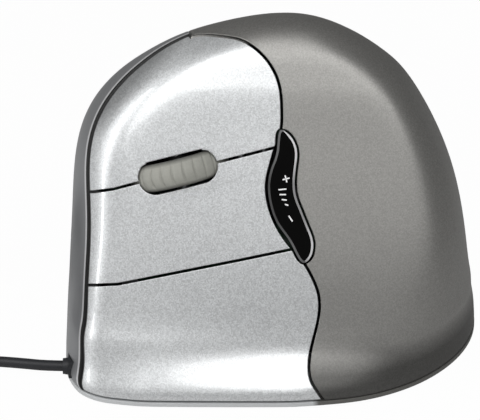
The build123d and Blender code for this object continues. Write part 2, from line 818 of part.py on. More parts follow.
with BuildPart() as rocker_board:
    with BuildSketch(face_plane.offset(-cradle_depth)):
        with Locations(cradle_centre):
            Rectangle(*cradle_span)
        for low, high in cradle_ears:
            with Locations(((low + high) / 2, rocker_pin_up)):
                Rectangle(high - low + 2 * seat_gap, ear_slot, mode=Mode.SUBTRACT)
    extrude(amount=rocker_board_thickness)
finish(rocker_board.part, "rocker_board")

with BuildPart() as rocker_domes:
    for spot in dome_spots:
        with BuildSketch(face_plane.offset(-rocker_board_top)):
            with Locations(spot):
                Circle(dome_radius)
        extrude(amount=dome_height, taper=degrees(atan2(dome_radius / 3, dome_height)))
finish(rocker_domes.part, "rocker_domes")

# Wheel: rubber tyre, hub, axle, the carrier that tips for the click, and the turn sensor
tyre_depth = 3.0
tyre_ribs = 27
tyre_groove = 0.5
hub_width = 6.2
hub_radius = wheel_radius - tyre_depth
axle_radius = 1.5
axle_length = 15.0
axle_start = 6.6
arm_gap = 4.9
arm_thickness = 1.4
arm_height = 4.6
arm_front = 9.0
carrier_pivot = 14.9
carrier_pin_radius = 1.0
carrier_pin_half = 8.6
carrier_bridge = 1.4
carrier_ears = (7.0, 8.6)
carrier_ear_radius = 2.0
tab_length = 8.2
tab_width = 4.0
tab_thickness = 1.2
tab_back = 6.0
encoder_width = 2.6
encoder_size = 6.0
tact_size = 6.0
tact_height = 3.4
tact_plunger_radius = 1.4
tact_across = 12.0

with BuildPart() as wheel_tyre:
    add(barrel(tyre_length, tyre_width, hub_radius + running_fit))
    with BuildSketch(wheel_side.offset(-tyre_width / 2)):
        with PolarLocations(wheel_radius + tyre_groove, tyre_ribs):
            Circle(2 * tyre_groove)
    extrude(amount=tyre_width, mode=Mode.SUBTRACT)
finish(wheel_tyre.part, "wheel_tyre")

with BuildPart() as wheel_hub:
    with BuildSketch(wheel_side.offset(-hub_width / 2)):
        Circle(hub_radius)
        Circle(axle_radius, mode=Mode.SUBTRACT)
    extrude(amount=hub_width)
    with BuildSketch(wheel_side.offset(hub_width / 2)):
        Circle(hub_radius - carrier_bridge)
        Circle(2 * axle_radius, mode=Mode.SUBTRACT)
    extrude(amount=-carrier_bridge, mode=Mode.SUBTRACT)
finish(wheel_hub.part, "wheel_hub")
finish(cylinder_along(wheel_side, axle_radius, -axle_start, axle_length - axle_start), "wheel_axle")

with BuildPart() as wheel_carrier:
    for side in (-1, 1):
        inner_face = side * arm_gap
        with BuildSketch(wheel_side.offset(inner_face)):
            with Locations(((carrier_pivot - arm_front) / 2, 0)):
                SlotOverall(carrier_pivot + arm_front + arm_height, arm_height)
        extrude(amount=side * arm_thickness)
    with BuildSketch(wheel_side.offset(-arm_gap)):
        with Locations((carrier_pivot + carrier_bridge, 0)):
            Rectangle(carrier_bridge, arm_height / 2, align=(Align.MIN, Align.CENTER))
    extrude(amount=2 * arm_gap)
    with BuildSketch(wheel_face.offset(tab_thickness + arm_height / 4 - wheel_depth)):
        with Locations((-tab_back, -arm_gap - arm_thickness / 2)):
            Rectangle(tab_width, tab_length + arm_thickness / 2, align=(Align.CENTER, Align.MAX))
    extrude(amount=-tab_thickness)
    with BuildSketch(wheel_side.offset(-carrier_pin_half)):
        Circle(axle_radius + running_fit)
        with Locations((carrier_pivot, 0)):
            Circle(carrier_pin_radius + running_fit)
    extrude(amount=2 * carrier_pin_half, mode=Mode.SUBTRACT)
finish(wheel_carrier.part, "wheel_carrier")

carrier_line = Plane(
    origin=wheel_side.from_local_coords((carrier_pivot, 0, 0)), x_dir=roll_dir, z_dir=axle_dir
)
finish(cylinder_along(carrier_line, carrier_pin_radius, -carrier_pin_half, carrier_pin_half), "carrier_pin")

with BuildPart() as scroll_encoder:
    with BuildSketch(wheel_side.offset(arm_gap + arm_thickness)):
        Rectangle(encoder_size, encoder_size)
        Circle(axle_radius + running_fit, mode=Mode.SUBTRACT)
    extrude(amount=encoder_width)
finish(scroll_encoder.part, "scroll_encoder")

# Click switch under the carrier's tab
tab_under = wheel_depth - arm_height / 4
tact_stand = board_depth - tact_height - tab_under - seat_gap

with BuildPart() as click_switch_body:
    with BuildSketch(wheel_face.offset(-board_depth)):
        with Locations((-tab_back, -tact_across)):
            Rectangle(tact_size, tact_size)
    extrude(amount=tact_height)
    with BuildSketch(wheel_face.offset(tact_height - board_depth)):
        with Locations((-tab_back, -tact_across)):
            Circle(tact_plunger_radius + running_fit)
    extrude(amount=-tact_height / 2, mode=Mode.SUBTRACT)
finish(click_switch_body.part, "click_switch_body")

with BuildPart() as click_plunger:
    with BuildSketch(wheel_face.offset(tact_height - board_depth + tact_stand)):
        with Locations((-tab_back, -tact_across)):
            Circle(tact_plunger_radius)
    extrude(amount=-tact_stand - tact_height / 4)
finish(click_plunger.part, "click_plunger")

# Finger switches and their plungers
for finger in button_switch_shares:
    spot = switch_spot(finger)
    with BuildPart() as switch_body:
        with BuildSketch(face_plane.offset(-board_depth)):
            with Locations(spot):
                Rectangle(switch_length, switch_width)
        extrude(amount=switch_height)
        with BuildSketch(face_plane.offset(switch_height - board_depth)):
            with Locations(spot):
                Circle(plunger_radius + running_fit)
        extrude(amount=-plunger_seat - plunger_stand, mode=Mode.SUBTRACT)
    finish(switch_body.part, f"{finger}_switch_body")

    with BuildPart() as plunger:
        with BuildSketch(face_plane.offset(-plunger_tip_depth)):
            with Locations(spot):
                Circle(plunger_radius)
        extrude(amount=-plunger_stand - plunger_seat)
    finish(plunger.part, f"{finger}_plunger")

# Finger board, with its window for the wheel and its notch for the carrier's ears
board_outline_shares = ((-0.39, 0.024), (-0.05, 0.024), (-0.05, 0.726), (-0.28, 0.726), (-0.39, 0.571))
window_front = 13.4
window_width = 9.6
notch_start = 12.4
notch_width = 18.8
board_screw_shares = ((-0.34, 0.150), (-0.09, 0.085), (-0.09, 0.690))
board_screw_radius = 1.0
board_boss_radius = 2.4


def face_places(shares):
    return [(across * body_length, up * body_height) for across, up in shares]


with BuildPart() as finger_board:
    with BuildSketch(face_plane.offset(-board_depth)):
        with BuildLine():
            Polyline(*face_places(board_outline_shares), close=True)
        make_face()
        with Locations(*face_places(board_screw_shares)):
            Circle(board_screw_radius + running_fit, mode=Mode.SUBTRACT)
    extrude(amount=-board_thickness)
    with BuildSketch(wheel_face.offset(-board_depth)):
        with Locations((-window_front, 0)):
            Rectangle(2 * window_front, window_width, align=(Align.MIN, Align.CENTER))
        with Locations((notch_start, 0)):
            Rectangle(window_front, notch_width, align=(Align.MIN, Align.CENTER))
    extrude(amount=-board_thickness, mode=Mode.SUBTRACT)
finish(finger_board.part, "finger_board")

# Chassis behind the board: plate, ears for the rod and the carrier, posts, bosses and legs
frame_outline_shares = (
    (-0.36, 0.024), (0.115, 0.024), (0.115, 0.625), (0.060, 0.790), (-0.140, 0.790), (-0.360, 0.560),
)
rod_ear_shares = (0.028, 0.232, 0.548, 0.762)
rod_ear_thickness = 2.0
leg_width = 6.0
leg_thickness = 5.0
leg_share = (-0.204, 0.155)
leg_spots_share = (-0.08, 0.30)
frame_window = (23.0, 10.0)
leg_centre_x = leg_share[0] * body_width
leg_top = leg_share[1] * body_height
leg_screw_reach = 7.0

with BuildPart() as finger_frame:
    with BuildSketch(face_plane.offset(-frame_depth)):
        with BuildLine():
            Polyline(*face_places(frame_outline_shares), close=True)
        make_face()
    extrude(amount=-frame_plate)
    with BuildSketch(wheel_face.offset(-frame_depth)):
        Rectangle(*frame_window)
    extrude(amount=-frame_plate, mode=Mode.SUBTRACT)
    with BuildSketch(face_plane.offset(-frame_depth)):
        with Locations(*face_places(board_screw_shares)):
            Circle(board_boss_radius)
    extrude(amount=standoff)
    for share in rod_ear_shares:
        with BuildSketch(cross_plane(share * body_height)):
            with Locations((pivot_across, -pivot_depth)):
                Circle(lug_radius)
                Rectangle(2 * lug_radius, frame_depth - pivot_depth, align=(Align.CENTER, Align.MAX))
        extrude(amount=-rod_ear_thickness)
    for side in (-1, 1):
        with BuildSketch(wheel_side.offset(side * carrier_ears[0])):
            with Locations((carrier_pivot, 0)):
                Circle(carrier_ear_radius)
                Rectangle(2 * carrier_ear_radius, frame_depth - wheel_depth, align=(Align.CENTER, Align.MIN))
        extrude(amount=side * (carrier_ears[1] - carrier_ears[0]))
    with BuildSketch(face_plane.offset(-frame_depth)):
        for up in cradle_up:
            inward = copysign(2 * frame_post_radius, cradle_centre[1] - up)
            with Locations((cradle_centre[0], up + inward)):
                Circle(frame_post_radius)
    extrude(amount=frame_depth - cradle_depth - cradle_plate)
    for share in leg_spots_share:
        with BuildSketch(Plane.XY.offset(deck_top)):
            with Locations((leg_centre_x, share * body_length)):
                Rectangle(leg_thickness, leg_width)
        extrude(amount=leg_top - deck_top)
    add(pivot_bore, mode=Mode.SUBTRACT)
    with BuildSketch(wheel_side.offset(-carrier_pin_half - cut_over)):
        with Locations((carrier_pivot, 0)):
            Circle(carrier_pin_radius + running_fit)
    extrude(amount=2 * carrier_pin_half + 2 * cut_over, mode=Mode.SUBTRACT)
    with BuildSketch(face_plane.offset(-frame_depth + standoff)):
        with Locations(*face_places(board_screw_shares)):
            Circle(board_screw_radius + running_fit)
    extrude(amount=-standoff - frame_plate, mode=Mode.SUBTRACT)
    with BuildSketch(Plane.XY.offset(deck_top)):
        for share in leg_spots_share:
            with Locations((leg_centre_x, share * body_length)):
                Circle(case_screw_radius + running_fit)
    extrude(amount=leg_screw_reach + seat_gap, mode=Mode.SUBTRACT)
finish(finger_frame.part, "finger_frame")

finger_screw_places = [
    Plane(origin=face_plane.from_local_coords((*spot, -board_depth)), x_dir=(0, -1, 0), z_dir=face_out)
    for spot in face_places(board_screw_shares)
]
finger_screws = screw_set(
    finger_screw_places, board_screw_radius, small_head, board_thickness + standoff + frame_plate / 2
)
finish(finger_screws, "finger_board_screws")

# Base plate: a rim that carries the shells, a deck inside them, and the sensor's hole
sensor_share = (0.06, 0.02)
sensor_hole = (9.0, 7.0)
board_posts_share = ((-0.107, -0.22), (0.238, -0.22), (-0.107, 0.27), (0.238, 0.27))
main_board_share = (-0.150, 0.286, -0.26, 0.315)
main_board_height = 6.2
main_board_thickness = 1.6
post_radius = 2.6
case_head_depth = 1.2
relief_pocket = 8.4
main_board_low = deck_top + main_board_height
main_board_top = main_board_low + main_board_thickness
foot_level = level_shares[0]
case_screw_spots = [
    *[(boss[0] * body_width, boss[1] * body_length) for boss in rear_boss_shares + front_boss_shares],
    *[(leg_centre_x, share * body_length) for share in leg_spots_share],
]
board_post_spots = [(across * body_width, along * body_length) for across, along in board_posts_share]
sensor_spot = (sensor_share[0] * body_width, sensor_share[1] * body_length)
case_head_radius = screw_head_share * case_screw_radius


def plan_outline(grow):
    # The body's lowest outline, as a closed line in the sketch it is drawn in
    points = body_section(foot_level, grow)[1]
    add(Edge.make_spline(points, periodic=True, parameters=[*range(len(points) + 1)]))


with BuildPart() as base_plate:
    with BuildSketch(Plane.XY.offset(foot_thickness)):
        with BuildLine():
            plan_outline(rim_reach)
        make_face()
    extrude(amount=rim_height)
    with BuildSketch(Plane.XY.offset(rim_top)):
        with BuildLine():
            plan_outline(-wall - seat_gap)
        make_face()
        with Locations((exit_x, body_length / 2)):
            Rectangle(relief_pocket, 2 * (body_length / 2 - relief_back + seat_gap), mode=Mode.SUBTRACT)
    extrude(amount=deck_height)
    with BuildSketch(Plane.XY.offset(deck_top)):
        with Locations(*board_post_spots):
            Circle(post_radius)
    extrude(amount=main_board_height)
    with BuildSketch(Plane.XY.offset(main_board_low)):
        with Locations(*board_post_spots):
            Circle(small_screw_radius + running_fit)
    extrude(amount=-small_screw_reach - seat_gap, mode=Mode.SUBTRACT)
    with BuildSketch(Plane.XY):
        with Locations(*case_screw_spots):
            Circle(case_screw_radius + running_fit)
        with Locations(sensor_spot):
            Rectangle(*sensor_hole)
    extrude(amount=deck_top, mode=Mode.SUBTRACT)
    with BuildSketch(Plane.XY.offset(foot_thickness)):
        with Locations(*case_screw_spots):
            Circle(case_head_radius + seat_gap)
    extrude(amount=case_head_depth, mode=Mode.SUBTRACT)
finish(base_plate.part, "base_plate")

case_screw_places = [
    Plane(origin=(*spot, foot_thickness + case_head_depth), x_dir=(1, 0, 0), z_dir=(0, 0, -1))
    for spot in case_screw_spots
]
case_screws = screw_set(
    case_screw_places,
    case_screw_radius,
    case_head_depth - running_fit,
    deck_top - foot_thickness - case_head_depth + case_screw_reach,
)
finish(case_screws, "case_screws")

# Glide feet: place as shares of the width and the length, with their turn
foot_size = (16.0, 5.0)
foot_shares = ((-0.235, -0.375, -32), (0.235, -0.375, 32), (-0.275, 0.40, 0), (0.255, 0.39, -8))

with BuildPart() as glide_feet:
    with BuildSketch(Plane.XY):
        for across, along, turn in foot_shares:
            with Locations(Location((across * body_width, along * body_length, 0), (0, 0, turn))):
                SlotOverall(*foot_size)
    extrude(amount=foot_thickness)
finish(glide_feet.part, "glide_feet")

# Main board with what stands on it
chip_size = (10.0, 10.0, 1.4)
chip_share = (0.16, -0.12)
sensor_size = (9.0, 12.0, 2.4)
lens_size = (12.0, 16.0)
lens_radius = 2.2
lens_depth = 1.8
led_radius = 2.0
led_length = 4.4
led_offset = 9.2
connector_size = (10.0, 6.0, 6.0)
connector_share = (-0.01, 0.272)
crystal_size = (8.0, 3.6, 3.0)
crystal_share = (0.19, 0.10)
can_radius = 2.5
can_height = 5.4
can_share = ((0.05, -0.2), (-0.07, -0.12))
ribbon_socket_size = (3.6, 10.0, 2.4)
finger_socket_share = (-0.125, 0.13)
thumb_socket_share = (0.205, 0.0)


def shares_to_plan(share):
    return (share[0] * body_width, share[1] * body_length)


def block_on(level, share, size):
    # A plain block standing on a level, centred on a place given in shares
    with BuildPart() as block:
        with BuildSketch(Plane.XY.offset(level)):
            with Locations(shares_to_plan(share)):
                Rectangle(size[0], size[1])
        extrude(amount=size[2])
    return block.part


board_low_x = main_board_share[0] * body_width
board_high_x = main_board_share[1] * body_width
board_low_y = main_board_share[2] * body_length
board_high_y = main_board_share[3] * body_length

with BuildPart() as main_board:
    with BuildSketch(Plane.XY.offset(main_board_low)):
        with Locations(((board_low_x + board_high_x) / 2, (board_low_y + board_high_y) / 2)):
            Rectangle(board_high_x - board_low_x, board_high_y - board_low_y)
        with Locations(*board_post_spots):
            Circle(small_screw_radius + running_fit, mode=Mode.SUBTRACT)
        with Locations(sensor_spot):
            Rectangle(sensor_hole[0], sensor_hole[1], mode=Mode.SUBTRACT)
    extrude(amount=main_board_thickness)
finish(main_board.part, "main_board")

board_screw_places = [
    Plane(origin=(*spot, main_board_top), x_dir=(1, 0, 0), z_dir=(0, 0, 1)) for spot in board_post_spots
]
main_screws = screw_set(
    board_screw_places, small_screw_radius, small_head, small_screw_reach + main_board_thickness
)
finish(main_screws, "main_board_screws")

finish(block_on(main_board_top, sensor_share, sensor_size), "sensor_chip")
finish(block_on(main_board_top, chip_share, chip_size), "controller_chip")
finish(block_on(main_board_top, connector_share, connector_size), "cable_connector")

with BuildPart() as sensor_lens:
    with BuildSketch(Plane.XY.offset(main_board_low)):
        with Locations(sensor_spot):
            Rectangle(*lens_size)
    extrude(amount=-lens_depth)
    with BuildSketch(Plane.XY.offset(main_board_low - lens_depth)):
        with Locations(sensor_spot):
            Circle(lens_radius)
    extrude(amount=-lens_depth, taper=2 * thumb_lean)
finish(sensor_lens.part, "sensor_lens")

with BuildPart() as sensor_led:
    led_plane = Plane(
        origin=(sensor_spot[0], sensor_spot[1] + led_offset, main_board_top + led_radius),
        x_dir=(1, 0, 0),
        z_dir=(0, 1, 0),
    )
    with BuildSketch(led_plane):
        Circle(led_radius)
    extrude(amount=led_length)
finish(sensor_led.part, "sensor_led")

with BuildPart() as board_parts:
    with BuildSketch(Plane.XY.offset(main_board_top)):
        for share in can_share:
            with Locations(shares_to_plan(share)):
                Circle(can_radius)
    extrude(amount=can_height)
    for share, size in (
        (crystal_share, crystal_size),
        (finger_socket_share, ribbon_socket_size),
        (thumb_socket_share, ribbon_socket_size),
    ):
        with BuildSketch(Plane.XY.offset(main_board_top)):
            with Locations(shares_to_plan(share)):
                Rectangle(size[0], size[1])
        extrude(amount=size[2])
finish(board_parts.part, "board_parts")

# Flat ribbons from the finger board and the thumb board down to the main board
ribbon_thickness = 0.4
ribbon_width = 8.0
ribbon_bend = 1.0
ribbon_hold = 2.0
ribbon_low = 5.4
ribbon_turn_x = -14.6
ribbon_drop = 8.0
ribbon_bend_z = 22.0
finger_socket = shares_to_plan(finger_socket_share)
thumb_socket = shares_to_plan(thumb_socket_share)
socket_middle = main_board_top + ribbon_socket_size[2] / 2
socket_top = main_board_top + ribbon_socket_size[2]


def ribbon(points, along):
    # A flat strip that follows a line in the plane across the body
    with BuildPart() as strip:
        with BuildSketch(Plane.XZ.offset(-along - ribbon_width / 2)):
            with BuildLine() as path:
                FilletPolyline(*[(point[0], point[1]) for point in points], radius=ribbon_bend)
            trace(path.line, ribbon_thickness)
        extrude(amount=ribbon_width)
    return strip.part


def across_body(plane, up, depth):
    # A place on a face plane at a height up the slope and a depth, as X and Z
    place = plane.from_local_coords((0, up, -depth))
    return (place.X, place.Z)


board_edge_up = board_outline_shares[0][1] * body_height
finger_back = board_depth + board_thickness + ribbon_thickness / 2
thumb_back = thumb_board_depth + thumb_board_thickness + ribbon_thickness / 2
finger_line = (
    across_body(face_plane, board_edge_up + ribbon_hold, finger_back),
    across_body(face_plane, board_edge_up - ribbon_hold, finger_back),
    (across_body(face_plane, board_edge_up - ribbon_hold, finger_back)[0] + ribbon_hold, ribbon_low),
    (ribbon_turn_x, ribbon_low),
    (ribbon_turn_x, socket_middle),
    (finger_socket[0] - ribbon_socket_size[0] / 2, socket_middle),
)
thumb_line = (
    across_body(thumb_plane, 0, thumb_back),
    across_body(thumb_plane, -ribbon_drop, thumb_back),
    (thumb_socket[0], ribbon_bend_z),
    (thumb_socket[0], socket_top),
)
finish(ribbon(finger_line, finger_socket[1]), "finger_ribbon")
finish(ribbon(thumb_line, thumb_socket[1]), "thumb_ribbon")

# Strain relief: a flange behind the front strip, a neck in its notch and a nose
flange_reach = 0.8
nose_radius = 2.1
nose_lean = 8.0
cord_radius = cord_diameter / 2
relief_plane = Plane(origin=(exit_x, relief_back, rim_top + running_fit), x_dir=(-1, 0, 0), z_dir=(0, 1, 0))
exit_rise = exit_z - rim_top - running_fit

with BuildPart() as strain_relief:
    with BuildSketch(relief_plane):
        Rectangle(
            relief_width + 2 * flange_reach, relief_height + flange_reach, align=(Align.CENTER, Align.MIN)
        )
    extrude(amount=relief_flange - running_fit)
    with BuildSketch(relief_plane):
        Rectangle(relief_width, relief_height - running_fit, align=(Align.CENTER, Align.MIN))
    extrude(amount=relief_front - relief_back)
    with BuildSketch(relief_plane.offset(relief_front - relief_back)):
        with Locations((0, exit_rise)):
            Circle(nose_radius)
    extrude(amount=relief_nose, taper=nose_lean)
    with BuildSketch(relief_plane):
        with Locations((0, exit_rise)):
            Circle(cord_radius)
    extrude(amount=relief_front - relief_back + relief_nose, mode=Mode.SUBTRACT)
finish(strain_relief.part, "strain_relief")

# Round leads, each a tube along straight runs that are joined by tangent arcs
bend_share = 0.45


def lead_path(points):
    places = [Vector(*point) for point in points]
    radii = []
    with BuildLine() as path:
        here = places[0]
        for before, corner, after in zip(places, places[1:], places[2:]):
            run_in = corner - before
            run_out = after - corner
            setback = bend_share * min(run_in.length, run_out.length)
            bend_start = corner - run_in.normalized() * setback
            bend_end = corner + run_out.normalized() * setback
            Line(here, bend_start)
            TangentArc(bend_start, bend_end, tangent=run_in.normalized())
            radii.append(round(setback / tan(radians(run_in.get_angle(run_out) / 2)), 1))
            here = bend_end
        Line(here, places[-1])
    return path.wires()[0], radii


def swept_tube(path, diameter):
    with BuildPart() as tube:
        with BuildSketch(Plane(origin=path @ 0, z_dir=path % 0)):
            Circle(diameter / 2)
        sweep(path=path)
    return tube.part


def round_lead(name, points, diameter):
    path, radii = lead_path(points)
    tube = swept_tube(path, diameter)
    print(name, "bend radii", radii, "length", round(path.length, 1))
    section = pi * diameter ** 2 / 4
    print(name, "volume over section times length", round(tube.volume / (section * path.length), 4))
    finish(tube, name)
    return path.length


inner_lead_diameter = 1.3
inner_lead_points = (
    (exit_x, relief_back, exit_z),
    (exit_x, 38.6, 4.0),
    (-23.6, 35.0, 5.6),
    (-11.0, 36.6, 10.6),
    (-3.2, 36.2, 13.2),
    (connector_share[0] * body_width, 30.7, 13.6),
)
round_lead("inner_lead", inner_lead_points, inner_lead_diameter)

# Cord: a run that leaves as in the photo, a flat coil that holds its length, and a tail
coil_radius = 21.0
coil_y = 103.0
coil_gap = 0.45
desk_gap = 0.02
coil_layers = 4
coil_steps = 7
coil_pitch = cord_diameter + coil_gap
coil_step = coil_pitch / 2
coil_low = cord_radius + desk_gap
coil_high = coil_low + (coil_layers - 1) * coil_pitch
coil_start = Vector(-coil_radius, coil_y, coil_low)

run_points = (
    (exit_x, relief_back, exit_z),
    (exit_x, 53.5, exit_z),
    (-25.0, 60.5, 2.95),
    (-21.6, 68.5, 1.6),
    (-coil_radius, 81.0, coil_low),
    (-coil_radius, coil_y - cord_diameter, coil_low),
)
run_length = round_lead("cord_run", run_points, cord_diameter)


def half_turn(here, radius, side):
    # Half a turn at one height, clockwise from above; side is the way it first travels in Y
    there = here + Vector(2 * radius * side, 0, 0)
    TangentArc(here, there, tangent=(0, side, 0))
    return there


def climbing_turn(here, radius, side):
    # Half a turn that also climbs one layer, from two arcs that share a tangent halfway
    there = here + Vector(2 * radius * side, 0, coil_pitch)
    out = Vector(0, side, 0)
    reach = sqrt(radius ** 2 + coil_pitch ** 2 / 4)
    middle = (here + there) * 0.5 + out * reach
    first_chord = (middle - here).normalized()
    turned = first_chord * (2 * first_chord.dot(out)) - out
    TangentArc(here, middle, tangent=out)
    TangentArc(middle, there, tangent=turned)
    return there


with BuildLine() as coil_line:
    place = coil_start
    Line(place - Vector(0, cord_diameter, 0), place)
    side = 1
    for layer in range(coil_layers):
        inward = layer % 2 == 0
        last = layer == coil_layers - 1
        steps = range(coil_steps) if inward else range(coil_steps - 1, 0 if last else -1, -1)
        for step in steps:
            place = half_turn(place, coil_radius - step * coil_step, side)
            side = -side
        if not last:
            climb_radius = coil_radius - coil_steps * coil_step if inward else coil_radius + coil_step
            place = climbing_turn(place, climb_radius, side)
            side = -side
    turn_end = place + Vector(coil_radius, coil_radius, 0)
    TangentArc(place, turn_end, tangent=(0, 1, 0))
    Line(turn_end, turn_end + Vector(cord_diameter, 0, 0))
coil_path = coil_line.wires()[0]
coil_tube = swept_tube(coil_path, cord_diameter)
print("cord_coil length", round(coil_path.length, 1), "volume share",
      round(coil_tube.volume / (pi * cord_radius ** 2 * coil_path.length), 4))
finish(coil_tube, "cord_coil")

# The narrowest place between two stretches of the coil, from points along it
gap_points = 1600
near_skip = 20
spots = [coil_path @ (index / gap_points) for index in range(gap_points + 1)]
narrow = min(
    (spots[index] - spots[other]).length
    for index in range(0, gap_points + 1)
    for other in range(index + near_skip, gap_points + 1)
    if abs(spots[index].Z - spots[other].Z) < 2 * coil_pitch
)
print("cord_coil narrowest gap", round(narrow - cord_diameter, 3))

plug_size = (15.6, 8.2, 22.0)
plug_back = coil_y + 5.4
plug_z = coil_high + cord_radius + seat_gap + plug_size[1] / 2
tail_points = (
    tuple(turn_end + Vector(cord_diameter, 0, 0)),
    (12.5, coil_y + coil_radius, coil_high),
    (18.6, coil_y + 17.6, coil_high + 2.6),
    (coil_radius, coil_y + 11.0, plug_z),
    (coil_radius, plug_back, plug_z),
)
tail_length = round_lead("cord_tail", tail_points, cord_diameter)
print("whole cord outside", round(run_length + coil_path.length + tail_length, 1))

# Plug, lying on the coil
plug_corner = 2.2
plug_nose_radius = 3.0
plug_nose_length = 5.0
plug_nose_lean = 6.0
plug_shell_size = (12.0, 4.5, 12.0)
plug_shell_wall = 0.3
tongue_size = (10.8, 1.9, 11.0)
tongue_drop = 0.8
plug_plane = Plane(origin=(coil_radius, plug_back, plug_z), x_dir=(1, 0, 0), z_dir=(0, -1, 0))
plug_end = plug_nose_length + plug_size[2]

with BuildPart() as plug_body:
    with BuildSketch(plug_plane.offset(plug_nose_length)):
        Circle(plug_nose_radius)
    extrude(amount=-plug_nose_length, taper=plug_nose_lean)
    with BuildSketch(plug_plane.offset(plug_nose_length)):
        RectangleRounded(plug_size[0], plug_size[1], plug_corner)
    extrude(amount=plug_size[2])
finish(plug_body.part, "plug_body")

with BuildPart() as plug_shell:
    with BuildSketch(plug_plane.offset(plug_end)):
        Rectangle(plug_shell_size[0], plug_shell_size[1])
        Rectangle(*grown(plug_shell_size[:2], -plug_shell_wall), mode=Mode.SUBTRACT)
    extrude(amount=plug_shell_size[2])
finish(plug_shell.part, "plug_shell")

with BuildPart() as plug_tongue:
    with BuildSketch(plug_plane.offset(plug_end)):
        with Locations((0, tongue_drop)):
            Rectangle(tongue_size[0], tongue_size[1])
    extrude(amount=tongue_size[2])
finish(plug_tongue.part, "plug_tongue")
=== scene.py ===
import json
from math import cos, hypot, pi, radians, sin

import bpy
from bpy.props import FloatProperty, FloatVectorProperty, IntProperty, PointerProperty
from mathutils import Color, Matrix, Vector


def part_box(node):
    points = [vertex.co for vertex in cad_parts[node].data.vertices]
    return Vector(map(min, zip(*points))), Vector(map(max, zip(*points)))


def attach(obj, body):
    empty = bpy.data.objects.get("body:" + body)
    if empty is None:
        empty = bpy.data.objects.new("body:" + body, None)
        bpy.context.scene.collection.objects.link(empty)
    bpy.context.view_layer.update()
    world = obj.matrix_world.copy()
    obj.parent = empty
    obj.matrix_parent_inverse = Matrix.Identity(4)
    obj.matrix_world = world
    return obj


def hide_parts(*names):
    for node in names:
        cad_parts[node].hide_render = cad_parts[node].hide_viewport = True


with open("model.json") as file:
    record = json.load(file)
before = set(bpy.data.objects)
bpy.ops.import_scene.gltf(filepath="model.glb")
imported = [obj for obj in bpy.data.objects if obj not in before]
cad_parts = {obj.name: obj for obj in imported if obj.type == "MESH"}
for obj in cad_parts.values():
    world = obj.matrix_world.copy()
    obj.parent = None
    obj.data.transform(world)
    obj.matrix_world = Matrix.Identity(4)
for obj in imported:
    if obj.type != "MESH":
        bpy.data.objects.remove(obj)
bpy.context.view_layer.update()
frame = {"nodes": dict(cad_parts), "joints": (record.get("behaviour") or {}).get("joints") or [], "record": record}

bl_info = {
    "name": "Upright mouse looks",
    "version": (1, 0, 0),
    "blender": (4, 5, 0),
    "location": "View3D > Sidebar > Mouse",
    "description": "Finishes, tyre, marks, cord and stage for a left-handed upright mouse",
    "category": "Object",
}

MM = 0.001
NODES = frame["nodes"]
JOINTS = {joint["name"]: joint for joint in frame["joints"]}
PHOTO_SIZE = (480, 420)

# The plane that parts the finger plates from the front strip, with its offset in metres
PARTING_NORMAL = (-0.9038, 0.0, 0.4279)
PARTING_OFFSET = 0.03353

# The way that the middle of the rocker's face looks
FACE_OUT = (-0.934, 0.0, 0.3573)

# The sockets of a Mix node that hold colours
MIX_FIRST, MIX_SECOND, MIX_RESULT = 6, 7, 2


def tone(red, green, blue):
    """A colour read as 8-bit levels of sRGB, as the linear values that Blender uses."""
    levels = [level / 255 for level in (red, green, blue)]
    return tuple(level / 12.92 if level <= 0.04045 else ((level + 0.055) / 1.055) ** 2.4
                 for level in levels)


def wheel_axle():
    """The direction of the wheel's axle, and a point on it."""
    joint = JOINTS["wheel_roll"]
    return Vector(joint["axis"]).normalized(), Vector(joint["pos_m"])


# ------------------------------------------------------------------ settings

def length_property(name, description, default):
    return FloatProperty(name=name, description=description, default=default,
                         subtype="DISTANCE", unit="LENGTH")


def colour_property(name, description, default):
    return FloatVectorProperty(name=name, description=description, default=default,
                               subtype="COLOR", size=3, min=0, max=1)


def share_property(name, description, default):
    return FloatProperty(name=name, description=description, default=default, subtype="FACTOR",
                         min=0, max=1)


class MouseColours(bpy.types.PropertyGroup):
    """Base colours of the finishes."""

    silver: colour_property("Silver", "Paint of the finger plates", tone(207, 209, 210))
    shell: colour_property("Shell", "Coating of the rear shell", tone(150, 149, 146))
    trim: colour_property("Trim", "Front strip and thumb buttons", tone(142, 143, 145))
    black: colour_property("Gloss black", "Speed rocker and thumb bezel", (0.002, 0.002, 0.002))
    base: colour_property("Base", "Base plate behind the plates", tone(104, 103, 100))
    tyre: colour_property("Tyre", "Rubber of the wheel", tone(150, 150, 143))
    cord: colour_property("Cord", "Jacket of the cord and its mouldings", tone(34, 35, 38))
    board: colour_property("Board", "Lacquer of the circuit boards", (0.006, 0.028, 0.014))
    mark: colour_property("Mark", "Printed marks on the rocker", (0.85, 0.85, 0.85))


class MouseTyre(bpy.types.PropertyGroup):
    """The ribbed rubber tyre of the wheel."""

    rise: length_property("Rise", "Height of the finger side's skin over the axle", 8.74 * MM)
    length: length_property("Length", "Length that the tyre shows in its slot", 16.7 * MM)
    width: length_property("Width", "Width of the tyre", 6.5 * MM)
    bore: length_property("Bore", "Radius where the tyre grips its hub", 9.35 * MM)
    rib_depth: length_property("Rib depth", "Depth of the grooves between ribs", 0.45 * MM)
    ribs: IntProperty(name="Ribs", description="Ribs around the tyre", default=27, min=3)
    bow: FloatProperty(name="Bow", description="How far each rib bows, in ribs", default=0.22)


class MouseMarks(bpy.types.PropertyGroup):
    """The marks printed on the speed rocker."""

    size: length_property("Size", "Length of the strokes of plus and minus", 1.7 * MM)
    stroke: length_property("Stroke", "Width of a stroke", 0.32 * MM)
    thickness: length_property("Thickness", "How far the print stands proud", 0.03 * MM)


